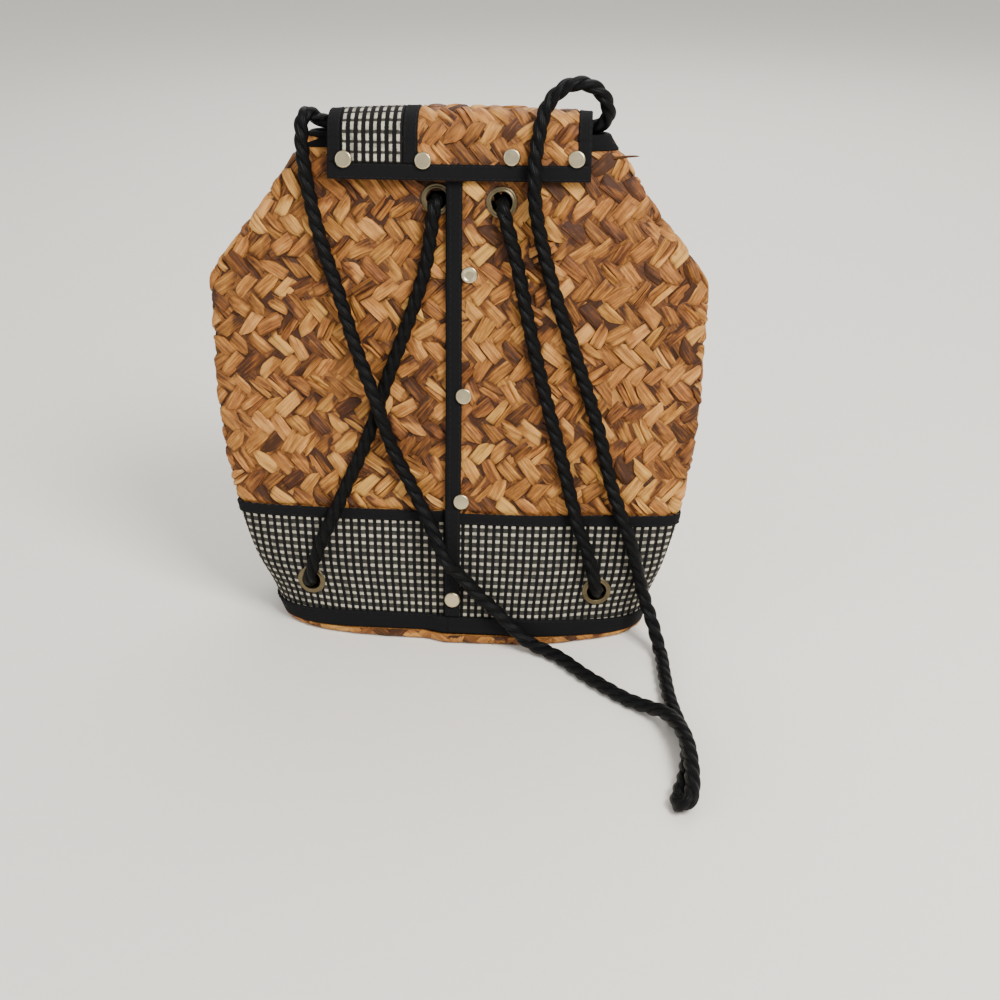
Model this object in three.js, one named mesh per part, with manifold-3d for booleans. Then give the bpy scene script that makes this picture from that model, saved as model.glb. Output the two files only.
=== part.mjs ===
// A woven straw backpack that stands by itself, with a flap over its mouth and a rope
// that is both its straps and its drawstring. Millimetres, X to the right, Y to the back,
// Z up, the floor at 0.
import * as THREE from 'three';
import { mergeVertices } from 'three/addons/utils/BufferGeometryUtils.js';
import Module from 'manifold-3d';

const wasm = await Module();
wasm.setup();

// Driving sizes of the body
const BAG_WIDTH = 300;
const BODY_HEIGHT = 306;
const BASE_DEPTH = 104;
const STRAW = 2.6;
const CLOTH = 1.2;
const TAPE = 0.9;
const CLEARANCE = 0.3;

// The front opening: the right panel lies over the left one
const EDGE_X = -6;
const UNDERLAP = 20.5;
const PANEL_GAP = 1.8;
const LIFT_FLAT = 45;
const LIFT_RUN = 42;
const PLACKET_WIDTH = 8.2;

// Band, bindings and base
const BAND_TOP = 84;
const BAND_TAPE_HEIGHT = 6.5;
const BASE_RIM_MIDDLE = 6.5;
const BASE_RIM_CORNER = 3.4;
const BASE_TAPE_HEIGHT = 11;
const MOUTH_TAPE_HEIGHT = 7;

// Flap
const FLAP_INSET = 11.7;
const FLAP_CLEARANCE = 0.7;
const FLAP_RISE = 15;
const FLAP_CROWN = 2.4;
const FLAP_DROP = 23;
const FLAP_BACK_DROP = 36;
const FLAP_TAPE_WIDTH = 7.7;
const FLAP_BOTTOM_TAPE = 9;
const PATCH_WIDTH = 36.3;
const PATCH_TAPE_WIDTH = 8.6;

// Metal parts and rope
const STUD_DIAMETER = 10;
const STUD_HEIGHT = 1.7;
const GROMMET_DIAMETER = 18.6;
const GROMMET_HOLE = 12;
const GROMMET_METAL = 0.9;
const CORD_DIAMETER = 8;
const CORD_SIDES = 10;
const CORD_ON_FLOOR = CORD_DIAMETER / 2 + 0.2;
const TAIL_SPACING = 8.6;
const KNOT_DIAMETER = 17;
const KNOT_LENGTH = 13;

// Sections of the body from the floor to the mouth. Level is a share of the body's height,
// half of half the width, skew how much further the left side reaches than the right, and
// side, front and back (where the widest line, the front and the back lie) are shares of
// the base's depth. Square is the outline's power.
const SECTIONS = [
  { level: 0.000, half: 0.782, skew: 0.000, side: -0.04, front: -0.50, back: 0.50, square: 3.2 },
  { level: 0.075, half: 0.824, skew: 0.010, side: -0.10, front: -0.46, back: 0.50, square: 3.2 },
  { level: 0.160, half: 0.878, skew: 0.014, side: -0.19, front: -0.41, back: 0.49, square: 3.6 },
  { level: 0.270, half: 0.926, skew: 0.012, side: -0.25, front: -0.34, back: 0.47, square: 3.4 },
  { level: 0.350, half: 0.960, skew: 0.014, side: -0.22, front: -0.29, back: 0.46, square: 3.2 },
  { level: 0.430, half: 0.983, skew: 0.016, side: -0.17, front: -0.23, back: 0.44, square: 3.0 },
  { level: 0.540, half: 0.997, skew: 0.016, side: -0.10, front: -0.16, back: 0.41, square: 3.0 },
  { level: 0.725, half: 1.000, skew: 0.016, side: -0.01, front: -0.07, back: 0.37, square: 3.0 },
  { level: 0.755, half: 0.964, skew: 0.016, side: 0.00, front: -0.05, back: 0.36, square: 3.0 },
  { level: 0.850, half: 0.805, skew: 0.016, side: 0.06, front: 0.00, back: 0.34, square: 3.0 },
  { level: 1.000, half: 0.590, skew: 0.016, side: 0.18, front: 0.10, back: 0.32, square: 3.0 },
];

// Places of the fittings: x across the front and z above the floor. The high ones are set
// down from the mouth, and the low ones follow the band's top edge.
const PLACKET_STUDS = [[6.8, BODY_HEIGHT - 76], [3.6, BODY_HEIGHT - 148.4],
  [2.6, BAND_TOP + 8.8], [-2.4, BAND_TOP - 53]];
const FLAP_STUDS = [[-67, BODY_HEIGHT - 12.3], [-20.4, BODY_HEIGHT - 12.2],
  [31.1, BODY_HEIGHT - 9.8], [68.3, BODY_HEIGHT - 10.7]];
const UPPER_GROMMETS = [[-13.2, BODY_HEIGHT - 34.2], [25.7, BODY_HEIGHT - 34.7]];
const LOWER_GROMMETS = [[-93.5, BAND_TOP - 48.8], [89.5, BAND_TOP - 49.2]];

// The rope's way over a grommet's edge and through its hole: how far from the hole's middle,
// towards the side that it comes from, and how high over the seat
const PASSAGE = [[7, 5.8], [2.4, 4.2], [0.5, -1.5], [0, -8.6]];

// The rope's course on the front: x, z and how far its middle lies ahead of the wall
const LEFT_STRAP = [[-86, 65.2, 6.6], [-78.6, 81, 7.4], [-70.5, 98.5, 5.4], [-55.3, 132.5, 4.9],
  [-42.4, 169.5, 4.9], [-27.3, 209.7, 4.9], [-19.4, 235.5, 4.9]];
const LEFT_RUN = [[-90.8, 284, 5.4], [-83.5, 252, 4.9], [-71.5, 215.2, 5.2], [-62.5, 187, 7.8],
  [-49.3, 155.7, 13.8], [-40.4, 127, 8.9], [-27.3, 99, 5.6], [-16.8, 79, 8.6],
  [-5.8, 60.6, 13.2], [1.5, 51.6, 9.6], [13.5, 37.5, 7.4], [27.4, 24.6, 7.6]];
const RIGHT_RUN = [[115.8, 44.1, 7.4], [109.7, 67.1, 7.4], [101.4, 89.2, 7.4],
  [94.8, 107, 5.2], [86.2, 139, 4.9], [71.6, 182, 4.9], [59, 217, 4.9], [49.4, 249.9, 5.4],
  [45.2, 272, 8.4], [44.5, 285, 10.7], [44.6, 296, 10.2]];
const RIGHT_STRAP = [[35, 237.8, 4.9], [42.4, 204, 4.9], [52, 165, 4.9], [62.5, 127.8, 5],
  [70.6, 98.5, 5.8], [75.3, 82, 7.6], [82.3, 63, 6.8]];

// Its course through the mouth and in the loops over it: x, y and the rise over the mouth
const LEFT_LOOP = [[-28, 17.5, -31], [-60, 21, -10], [-73.5, 21, 2.4], [-79.5, 19.8, 5.6],
  [-85.5, 18.4, 8.6], [-89.4, 14, 12], [-91.8, 9, 9.6], [-92.4, 5.6, 1.5]];
const RIGHT_LOOP = [[46.2, -2.2, 2.5], [49.2, 3.6, 15.6], [54, 7.2, 23.4], [62.6, 10, 29.5],
  [72.5, 12.3, 30], [80.5, 14.3, 25.4], [85, 16.3, 18], [85.4, 18.6, 10.6],
  [80.8, 20, 5.8], [73.5, 21, 2.8], [61, 21, -10], [38, 17.5, -30]];

// Its course on the floor
const LEFT_FLOOR = [[37, -61.8, 15.4], [46, -64.2, 7.8], [63.1, -72.8, CORD_ON_FLOOR],
  [84, -95, CORD_ON_FLOOR], [106, -115.4, CORD_ON_FLOOR], [120, -126, 6]];
const RIGHT_FLOOR = [[133.2, -115, CORD_ON_FLOOR], [131.1, -88, CORD_ON_FLOOR],
  [129.8, -66, CORD_ON_FLOOR], [124.4, -52, 18.5], [119.4, -46.6, 31]];
const TAIL = [[133.2, -135], [139.6, -157], [139.8, -183], [136.4, -207]];

const COLUMNS = 40;
const LAP_ROOM = 10;
const OUTLINE_STEPS = 240;
const MOUTH_HALF = SECTIONS.at(-1).half * BAG_WIDTH / 2;
const FLAP_HALF = MOUTH_HALF - FLAP_INSET;
const PANEL_LIFT = STRAW + PANEL_GAP;
const BAND_OUT = CLEARANCE + CLOTH;
const WALL_BOTTOM = STRAW + CLEARANCE;

// Materials by the finish that they stand for
const FINISHES = {
  straw: { color: 0xb5834a, roughness: 0.72, metalness: 0 },
  check_cloth: { color: 0x4a4844, roughness: 0.85, metalness: 0 },
  black_tape: { color: 0x17171a, roughness: 0.8, metalness: 0 },
  stud_metal: { color: 0xcfc6a4, roughness: 0.35, metalness: 1 },
  grommet_metal: { color: 0x8a7a50, roughness: 0.4, metalness: 1 },
  rope: { color: 0x101012, roughness: 0.5, metalness: 0 },
};

const model = new THREE.Group();

// Adds one named piece with a material of its own
function addPiece(name, geometry, finish) {
  const piece = new THREE.Mesh(geometry, new THREE.MeshStandardMaterial(FINISHES[finish]));
  piece.name = name;
  model.add(piece);
  return piece;
}

function smooth(value) {
  const share = THREE.MathUtils.clamp(value, 0, 1);
  return share * share * (3 - 2 * share);
}

// Slope of a column at a row, zero at a turning point so that nothing overshoots
function rowSlope(column, row) {
  if (row === 0 || row === SECTIONS.length - 1) {
    const other = row === 0 ? 1 : row - 1;
    const rise = SECTIONS[other][column] - SECTIONS[row][column];
    return rise / (SECTIONS[other].level - SECTIONS[row].level);
  }
  const [below, here, above] = [SECTIONS[row - 1], SECTIONS[row], SECTIONS[row + 1]];
  const low = (here[column] - below[column]) / (here.level - below.level);
  const high = (above[column] - here[column]) / (above.level - here.level);
  return low * high > 0 ? 2 * low * high / (low + high) : 0;
}

// The body's section at a height, by smooth steps between the rows of the table
function sectionAt(z) {
  const level = THREE.MathUtils.clamp(z / BODY_HEIGHT, 0, 1);
  const row = Math.max(0, SECTIONS.findIndex((next) => next.level >= level) - 1);
  const [low, high] = [SECTIONS[row], SECTIONS[row + 1]];
  const span = high.level - low.level;
  const t = (level - low.level) / span;
  const at = (column) => {
    const rise = t * t * (3 - 2 * t);
    const leave = t * (1 - t) * (1 - t) * span * rowSlope(column, row);
    const arrive = t * t * (t - 1) * span * rowSlope(column, row + 1);
    return low[column] + (high[column] - low[column]) * rise + leave + arrive;
  };
  return {
    half: at('half') * BAG_WIDTH / 2,
    skew: at('skew'),
    side: at('side') * BASE_DEPTH,
    front: at('front') * BASE_DEPTH,
    back: at('back') * BASE_DEPTH,
    square: at('square'),
  };
}

// The right half of the outline at a height, from the front's middle to the back's
const outlines = new Map();
function outlineAt(z) {
  if (!outlines.has(z)) {
    const { half, skew, side, front, back, square } = sectionAt(z);
    const points = [];
    const lengths = [0];
    for (let i = 0; i <= OUTLINE_STEPS; i++) {
      const angle = Math.PI * i / OUTLINE_STEPS;
      const across = Math.sin(angle) ** (2 / square);
      const ahead = Math.sign(Math.cos(angle)) * Math.abs(Math.cos(angle)) ** (2 / square);
      const reach = ahead > 0 ? side - front : back - side;
      points.push(new THREE.Vector2(half * across, side - ahead * reach));
      if (i > 0) lengths.push(lengths[i - 1] + points[i].distanceTo(points[i - 1]));
    }
    outlines.set(z, { points, lengths, length: lengths.at(-1), skew });
  }
  return outlines.get(z);
}

// A place on the outline: the distance is measured from the front's middle to the right
function outlinePoint(distance, z) {
  const { points, lengths, length, skew } = outlineAt(z);
  const turn = THREE.MathUtils.euclideanModulo(distance + length, 2 * length) - length;
  const along = Math.abs(turn);
  let step = 1;
  while (step < OUTLINE_STEPS && lengths[step] < along) step++;
  const share = (along - lengths[step - 1]) / (lengths[step] - lengths[step - 1]);
  const point = points[step - 1].clone().lerp(points[step], share);
  return new THREE.Vector2(point.x * (turn < 0 ? -1 - skew : 1 - skew), point.y);
}

// Every piece on the body shares these rows and columns, so its facets lie flat on the
// wall's. A column is a share of the way round from the front's middle, plus a shift.
const WIDE_STEP = 0.09;
const BAND_BOTTOM = BASE_RIM_MIDDLE + CLEARANCE;
const BAND_LEVELS = [BAND_BOTTOM, BAND_TOP - BAND_TAPE_HEIGHT, BAND_TOP];
const LEVELS = SECTIONS.flatMap(({ level }, row) => {
  const next = SECTIONS[row + 1] ?? { level };
  const between = next.level - level > WIDE_STEP ? [(level + next.level) / 2] : [];
  return [level, ...between].map((share) => share * BODY_HEIGHT);
}).filter((z) => BAND_LEVELS.every((edge) => Math.abs(z - edge) > BAND_TAPE_HEIGHT / 2))
  .concat(BAND_LEVELS)
  .sort((a, b) => a - b)
  .filter((z, i, all) => z !== all[i - 1]);

// A place on the outline, moved out by an offset
function outlineOffset(distance, z, offset) {
  const ahead = outlinePoint(distance + 0.5, z);
  const behind = outlinePoint(distance - 0.5, z);
  const along = ahead.sub(behind).normalize();
  const point = outlinePoint(distance, z);
  return new THREE.Vector3(point.x + along.y * offset, point.y - along.x * offset, z);
}

// A place on the body's outer surface, between two rows, moved out by an offset and a lift
function bodyPoint(column, z, offset, liftAt) {
  const row = Math.max(1, LEVELS.findIndex((level) => level >= z - 1e-6));
  const [low, high] = [LEVELS[row - 1], LEVELS[row]];
  const atRow = (level) => {
    const distance = column.turn * outlineAt(level).length + column.shift;
    return outlineOffset(distance, level, offset + liftAt(distance, outlineAt(level).length));
  };
  return atRow(low).lerp(atRow(high), (z - low) / (high - low));
}

// The columns from the right panel's free edge round to a place near it. None lies close
// before the edge, so all pieces share the last one.
function columnsTo(end) {
  const shortest = Math.min(...LEVELS.map((z) => outlineAt(z).length));
  const longest = Math.max(...LEVELS.map((z) => outlineAt(z).length));
  const columns = [{ turn: 0, shift: EDGE_X }];
  for (let i = 0; i < 2 * COLUMNS; i++) {
    const turn = 2 * i / COLUMNS;
    const past = (turn - 2) * (turn < 2 ? shortest : longest);
    if (past < -LAP_ROOM || (past >= 0 && past < end - 1)) columns.push({ turn, shift: 0 });
  }
  columns.push({ turn: 2, shift: end });
  return columns;
}

// The rows between two heights
function levelsWithin(low, high) {
  return [low, ...LEVELS.filter((z) => z > low + 1 && z < high - 1), high];
}

// How far the right panel is raised where it lies over the left one
function panelLift(distance) {
  return PANEL_LIFT * (1 - smooth((distance - LIFT_FLAT) / LIFT_RUN));
}

// The same for a binding that runs right round, which also steps down to the left panel
function ringLift(distance, length) {
  if (distance < length) return panelLift(distance);
  const pastEdge = 2 * length + EDGE_X - distance;
  return PANEL_LIFT * smooth(1 - pastEdge / (2 * PLACKET_WIDTH));
}

const noLift = () => 0;

// A closed sheet between two grids of points, where outer(u, v) is the face that looks out
function thickSheet(outer, inner, columns, rows, ring) {
  const across = ring ? columns : columns + 1;
  const positions = [];
  for (const face of [outer, inner]) {
    for (let v = 0; v <= rows; v++) {
      for (let u = 0; u < across; u++) positions.push(...face(u, v).toArray());
    }
  }
  const faceSize = across * (rows + 1);
  const out = (u, v) => v * across + u % across;
  const back = (u, v) => faceSize + out(u, v);
  const index = [];
  const quad = (a, b, c, d) => index.push(a, b, c, a, c, d);
  for (let u = 0; u < columns; u++) {
    for (let v = 0; v < rows; v++) {
      quad(out(u, v), out(u + 1, v), out(u + 1, v + 1), out(u, v + 1));
      quad(back(u, v), back(u, v + 1), back(u + 1, v + 1), back(u + 1, v));
    }
    quad(out(u, 0), back(u, 0), back(u + 1, 0), out(u + 1, 0));
    quad(out(u, rows), out(u + 1, rows), back(u + 1, rows), back(u, rows));
  }
  for (let v = 0; v < rows && !ring; v++) {
    quad(out(0, v), out(0, v + 1), back(0, v + 1), back(0, v));
    quad(out(columns, v), back(columns, v), back(columns, v + 1), out(columns, v + 1));
  }
  return geometryOf(positions, index);
}

// A sheet that wraps the body from the right panel's free edge round to a place near it
function wrappedSheet(low, high, end, inner, outer) {
  const columns = columnsTo(end);
  const levels = levelsWithin(low, high);
  const face = (offset) => (u, v) => bodyPoint(columns[u], levels[v], offset, panelLift);
  return thickSheet(face(outer), face(inner), columns.length - 1, levels.length - 1, false);
}

const RING = columnsTo(EDGE_X).slice(0, -1);

// A ring of tape round the body, between two heights that change along it, with a row of
// its own at the band's lowest row or just over its own edge
function ringTape(lowAt, highAt, inner, outer) {
  const rows = [lowAt, (column) => Math.max(BAND_BOTTOM, lowAt(column) + 1), highAt];
  const face = (offset) => (u, v) => bodyPoint(RING[u], rows[v](RING[u]), offset, ringLift);
  return thickSheet(face(outer), face(inner), RING.length, rows.length - 1, true);
}

function geometryOf(positions, index) {
  const geometry = new THREE.BufferGeometry();
  geometry.setAttribute('position', new THREE.Float32BufferAttribute(positions, 3));
  geometry.setIndex(index);
  return geometry;
}

// Heights from a to b in even steps
function levelsBetween(a, b, steps) {
  return Array.from({ length: steps + 1 }, (unused, i) => a + (b - a) * i / steps);
}

// Turns a geometry into a solid that can be cut
function toSolid(geometry) {
  const plain = geometry.clone();
  plain.deleteAttribute('normal');
  plain.deleteAttribute('uv');
  const merged = mergeVertices(plain, 1e-4);
  return new wasm.Manifold(new wasm.Mesh({
    numProp: 3,
    vertProperties: new Float32Array(merged.attributes.position.array),
    triVerts: new Uint32Array(merged.index.array),
  }));
}

function toGeometry(solid) {
  const mesh = solid.getMesh();
  const geometry = new THREE.BufferGeometry();
  geometry.setAttribute('position', new THREE.BufferAttribute(mesh.vertProperties, 3));
  geometry.setIndex(new THREE.BufferAttribute(mesh.triVerts, 1));
  return geometry;
}

// Where a fitting sits: a point on the front and the way out of it
function frontSeat(x, z, offset) {
  const liftAt = x > EDGE_X ? panelLift : noLift;
  const surface = (across, height) => {
    return bodyPoint({ turn: 0, shift: across }, height, offset, liftAt);
  };
  const reach = GROMMET_DIAMETER / 2;
  const along = surface(x + reach, z).sub(surface(x - reach, z));
  const up = surface(x, z + reach).sub(surface(x, z - reach));
  return { point: surface(x, z), out: along.cross(up).normalize() };
}

// Turns a shape that was made round +Z so that +Z looks out of its seat
function seatGeometry(geometry, seat) {
  const turn = new THREE.Quaternion().setFromUnitVectors(new THREE.Vector3(0, 0, 1), seat.out);
  return geometry.applyQuaternion(turn).translate(seat.point.x, seat.point.y, seat.point.z);
}

// A solid of revolution round +Z from a profile of [radius, height] pairs
function turned(profile, sides) {
  const points = profile.map(([radius, height]) => new THREE.Vector2(radius, height));
  return new THREE.LatheGeometry(points, sides).rotateX(Math.PI / 2);
}

// Body wall: one straw sheet whose ends lap at the front
function bodyWall(holes) {
  const sheet = wrappedSheet(WALL_BOTTOM, BODY_HEIGHT, EDGE_X + UNDERLAP, -STRAW, 0);
  return toGeometry(holes.reduce((wall, hole) => wall.subtract(hole), toSolid(sheet)));
}

// The rim of the base is highest at the middle of the front and of the back
function baseRim(column) {
  const middle = Math.cos(Math.PI * column.turn) ** 2;
  return BASE_RIM_CORNER + (BASE_RIM_MIDDLE - BASE_RIM_CORNER) * smooth(middle);
}

// Base: a shallow straw tray that the wall stands in
function basePanel() {
  const rimOut = CLEARANCE + STRAW * 0.9;
  const profile = (rim) => [[-3, 0], [0.5, 0.5], [rimOut, 2.2], [rimOut, rim], [CLEARANCE, rim],
    [CLEARANCE, STRAW]];
  const rings = profile(0).length;
  const positions = [0, 0, 0, 0, 0, STRAW];
  for (const column of RING) {
    for (const [offset, z] of profile(baseRim(column))) {
      positions.push(...bodyPoint(column, Math.max(z, WALL_BOTTOM), offset, ringLift).setZ(z));
    }
  }
  const at = (u, ring) => 2 + (u % RING.length) * rings + ring;
  const index = [];
  for (let u = 0; u < RING.length; u++) {
    index.push(0, at(u + 1, 0), at(u, 0));
    for (let ring = 0; ring < rings - 1; ring++) {
      index.push(at(u, ring), at(u + 1, ring), at(u + 1, ring + 1));
      index.push(at(u, ring), at(u + 1, ring + 1), at(u, ring + 1));
    }
    index.push(1, at(u, rings - 1), at(u + 1, rings - 1));
  }
  return geometryOf(positions, index);
}

// Binding of the mouth: a tape folded over the wall's top edge
function mouthBinding() {
  const out = CLEARANCE + TAPE;
  const low = BODY_HEIGHT - MOUTH_TAPE_HEIGHT;
  const outside = [[out, low], [out, BODY_HEIGHT + out]];
  const inside = [[-STRAW - out, BODY_HEIGHT + out], [-STRAW - out, low],
    [-STRAW - CLEARANCE, low], [-STRAW - CLEARANCE, BODY_HEIGHT + CLEARANCE]];
  const under = [[CLEARANCE, BODY_HEIGHT + CLEARANCE], [CLEARANCE, low]];
  const positions = [];
  for (const column of RING) {
    const place = (corners, liftAt) => corners.forEach(([offset, z]) => {
      const point = bodyPoint(column, Math.min(z, BODY_HEIGHT), offset, liftAt);
      positions.push(...point.setZ(z));
    });
    place(outside, ringLift);
    place(inside, noLift);
    place(under, ringLift);
  }
  const corners = outside.length + inside.length + under.length;
  const at = (u, corner) => (u % RING.length) * corners + corner % corners;
  const index = [];
  for (let u = 0; u < RING.length; u++) {
    for (let corner = 0; corner < corners; corner++) {
      index.push(at(u, corner), at(u + 1, corner), at(u + 1, corner + 1));
      index.push(at(u, corner), at(u + 1, corner + 1), at(u, corner + 1));
    }
  }
  return geometryOf(positions, index);
}

// Binding of the right panel's free edge: an angle that passes over the band as well
function placketBinding() {
  const overBand = BAND_OUT + CLEARANCE + TAPE + CLEARANCE;
  const top = BODY_HEIGHT - MOUTH_TAPE_HEIGHT - CLEARANCE;
  const bottom = BASE_RIM_MIDDLE + BASE_TAPE_HEIGHT + 2 * CLEARANCE;
  const step = BAND_TOP + CLEARANCE;
  const low = levelsWithin(bottom, step);
  const levels = [...low, ...levelsWithin(step + overBand, top)];
  const right = EDGE_X + PLACKET_WIDTH;
  const left = EDGE_X - CLEARANCE;
  const positions = [];
  for (const z of levels) {
    const under = z <= step ? overBand : CLEARANCE;
    const corners = [[right, under], [right, under + TAPE], [left - TAPE, under + TAPE],
      [left - TAPE, -STRAW], [left, -STRAW], [left, under]];
    for (const [shift, offset] of corners) {
      positions.push(...bodyPoint({ turn: 0, shift }, z, offset, () => PANEL_LIFT));
    }
  }
  const sides = 6;
  const at = (row, corner) => row * sides + corner % sides;
  const index = [];
  for (let row = 0; row < levels.length - 1; row++) {
    for (let corner = 0; corner < sides; corner++) {
      index.push(at(row, corner), at(row + 1, corner + 1), at(row, corner + 1));
      index.push(at(row, corner), at(row + 1, corner), at(row + 1, corner + 1));
    }
  }
  // Each end is two quads: the leg over the panel and the leg over its edge
  const last = levels.length - 1;
  for (const [a, b, c, d] of [[0, 1, 2, 5], [5, 2, 3, 4]]) {
    index.push(at(0, a), at(0, b), at(0, c), at(0, a), at(0, c), at(0, d));
    index.push(at(last, c), at(last, b), at(last, a), at(last, d), at(last, c), at(last, a));
  }
  return geometryOf(positions, index);
}

// The y of the body's front or back at an x and a height
function faceY(x, z, isFront) {
  const { half, skew, side, front, back, square } = sectionAt(z);
  const reach = half * (x < 0 ? 1 + skew : 1 - skew);
  const share = Math.max(0, 1 - Math.abs(x / reach) ** square) ** (1 / square);
  return isFront ? side - (side - front) * share : side + (back - side) * share;
}

// The flap's inner face in its own course: -1 to 0 up the back, 0 to 1 over the mouth,
// 1 to 2 down the front
function flapLine(x, course) {
  const overTape = CLEARANCE + TAPE + FLAP_CLEARANCE;
  const frontOff = PANEL_LIFT + overTape;
  if (course < 0) {
    const z = BODY_HEIGHT + course * FLAP_BACK_DROP;
    return new THREE.Vector2(faceY(x, z, false) + overTape, z);
  }
  if (course > 1) {
    const z = BODY_HEIGHT - (course - 1) * FLAP_DROP;
    return new THREE.Vector2(faceY(x, z, true) - frontOff, z);
  }
  const backY = faceY(x, BODY_HEIGHT, false) + overTape;
  const frontY = faceY(x, BODY_HEIGHT, true) - frontOff;
  const rise = FLAP_RISE - STRAW - FLAP_CROWN * (x / FLAP_HALF) ** 2;
  const angle = Math.PI * course;
  const middle = (backY + frontY) / 2;
  const reach = (backY - frontY) / 2;
  return new THREE.Vector2(middle + reach * Math.cos(angle), BODY_HEIGHT + rise * Math.sin(angle));
}

// A place on the flap, moved out of its inner face by an offset
function flapPoint(x, course, offset) {
  const step = 0.02;
  const along = flapLine(x, course + step).sub(flapLine(x, course - step)).normalize();
  const point = flapLine(x, course);
  return new THREE.Vector3(x, point.x + along.y * offset, point.y - along.x * offset);
}

// A strip of the flap or on it
function flapStrip(left, right, columns, courses, inner, outer) {
  const face = (offset) => (u, v) => {
    const x = left + (right - left) * u / columns;
    return flapPoint(x, courses[courses.length - 1 - v], offset);
  };
  return thickSheet(face(outer), face(inner), columns, courses.length - 1, false);
}

const BACK_COURSES = [-1, -0.5];
const ARCH_COURSES = levelsBetween(0, 1, 8);
const FRONT_COURSES = [1.5, 2];
const ALL_COURSES = [...BACK_COURSES, ...ARCH_COURSES, ...FRONT_COURSES];

// The flap, its check patch and the tapes that edge them
function addFlap() {
  const tapeIn = STRAW + CLEARANCE;
  const tapeOut = tapeIn + TAPE;
  const bottomTape = 2 - FLAP_BOTTOM_TAPE / FLAP_DROP;
  const tapeGap = CLEARANCE / FLAP_DROP;
  const backTape = -1 + FLAP_TAPE_WIDTH / FLAP_BACK_DROP;
  const backGap = CLEARANCE / FLAP_BACK_DROP;
  const upright = [backTape + backGap, -0.5, ...ARCH_COURSES, bottomTape - tapeGap];
  addPiece('flap', flapStrip(-FLAP_HALF, FLAP_HALF, 8, ALL_COURSES, 0, STRAW), 'straw');
  const left = -FLAP_HALF + FLAP_TAPE_WIDTH;
  const right = FLAP_HALF - FLAP_TAPE_WIDTH;
  const patchEnd = left + CLEARANCE + PATCH_WIDTH;
  const middle = patchEnd + CLEARANCE;
  addPiece('flap_left_binding',
    flapStrip(-FLAP_HALF, left, 1, upright, tapeIn, tapeOut), 'black_tape');
  addPiece('flap_right_binding',
    flapStrip(right, FLAP_HALF, 1, upright, tapeIn, tapeOut), 'black_tape');
  addPiece('flap_middle_binding',
    flapStrip(middle, middle + PATCH_TAPE_WIDTH, 1, upright, tapeIn, tapeOut), 'black_tape');
  addPiece('flap_patch',
    flapStrip(left + CLEARANCE, patchEnd, 3, upright, tapeIn, tapeOut), 'check_cloth');
  addPiece('flap_front_binding',
    flapStrip(-FLAP_HALF, FLAP_HALF, 8, [bottomTape, 2], tapeIn, tapeOut), 'black_tape');
  addPiece('flap_back_binding',
    flapStrip(-FLAP_HALF, FLAP_HALF, 8, [-1, backTape], tapeIn, tapeOut), 'black_tape');
}

// A stud's cap: a flat disc with a soft edge
function studCap() {
  const radius = STUD_DIAMETER / 2;
  return turned([
    [0, 0],
    [radius, 0],
    [radius, STUD_HEIGHT * 0.55],
    [radius * 0.84, STUD_HEIGHT],
    [0, STUD_HEIGHT * 0.86],
  ], 10);
}

function addStuds() {
  const overTape = CLEARANCE + TAPE + CLEARANCE;
  PLACKET_STUDS.forEach(([x, z], i) => {
    const band = z < BAND_TOP ? BAND_OUT + CLEARANCE + TAPE : 0;
    const seat = frontSeat(x, z, overTape + band);
    addPiece(`placket_stud_${i + 1}`, seatGeometry(studCap(), seat), 'stud_metal');
  });
  FLAP_STUDS.forEach(([x, z], i) => {
    const course = 1 + (BODY_HEIGHT - z) / FLAP_DROP;
    const point = flapPoint(x, course, STRAW + overTape);
    const along = flapPoint(x, course + 0.1, STRAW).sub(flapPoint(x, course - 0.1, STRAW));
    const out = along.cross(new THREE.Vector3(1, 0, 0)).normalize();
    addPiece(`flap_stud_${i + 1}`, seatGeometry(studCap(), { point, out }), 'stud_metal');
  });
}

// A grommet round +Z for a hole through a thickness: barrel, front flange and back washer
function grommet(thickness) {
  const bore = GROMMET_HOLE / 2;
  const flange = GROMMET_DIAMETER / 2;
  const low = -thickness - 2 * CLEARANCE;
  return turned([
    [bore, low - GROMMET_METAL],
    [flange, low - GROMMET_METAL],
    [flange, low],
    [bore + GROMMET_METAL, low],
    [bore + GROMMET_METAL, 0],
    [flange, 0],
    [flange - GROMMET_METAL, GROMMET_METAL],
    [bore, GROMMET_METAL],
    [bore, low - GROMMET_METAL],
  ], 14);
}

// The hole for it, with a seat for the back washer where the wall curves
function grommetHole(thickness) {
  const bore = GROMMET_HOLE / 2 + GROMMET_METAL + CLEARANCE;
  const washer = GROMMET_DIAMETER / 2 + CLEARANCE;
  const seatLevel = -thickness - CLEARANCE;
  const low = seatLevel - GROMMET_DIAMETER / 2;
  const high = GROMMET_DIAMETER / 2;
  return turned([[0, low], [washer, low], [washer, seatLevel], [bore, seatLevel],
    [bore, high], [0, high]], 14);
}

// The four grommets, and the holes that they need in the wall and the band
function addGrommets() {
  const holes = [];
  const places = [
    ...UPPER_GROMMETS.map((place) => [...place, 0, 'upper']),
    ...LOWER_GROMMETS.map((place) => [...place, BAND_OUT, 'lower']),
  ];
  for (const [x, z, band, row] of places) {
    const seat = frontSeat(x, z, band + 2 * CLEARANCE);
    const thickness = STRAW + band + 2 * CLEARANCE;
    const side = x < 0 ? 'left' : 'right';
    addPiece(`grommet_${row}_${side}`, seatGeometry(grommet(thickness), seat), 'grommet_metal');
    holes.push(toSolid(seatGeometry(grommetHole(thickness), seat)));
  }
  return holes;
}

const onFront = ([x, z, ahead]) => {
  const lift = x > EDGE_X ? panelLift(x) : 0;
  return new THREE.Vector3(x, faceY(x, z, true) - lift - ahead, z);
};
const overMouth = ([x, y, rise]) => new THREE.Vector3(x, y, BODY_HEIGHT + rise);

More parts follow.
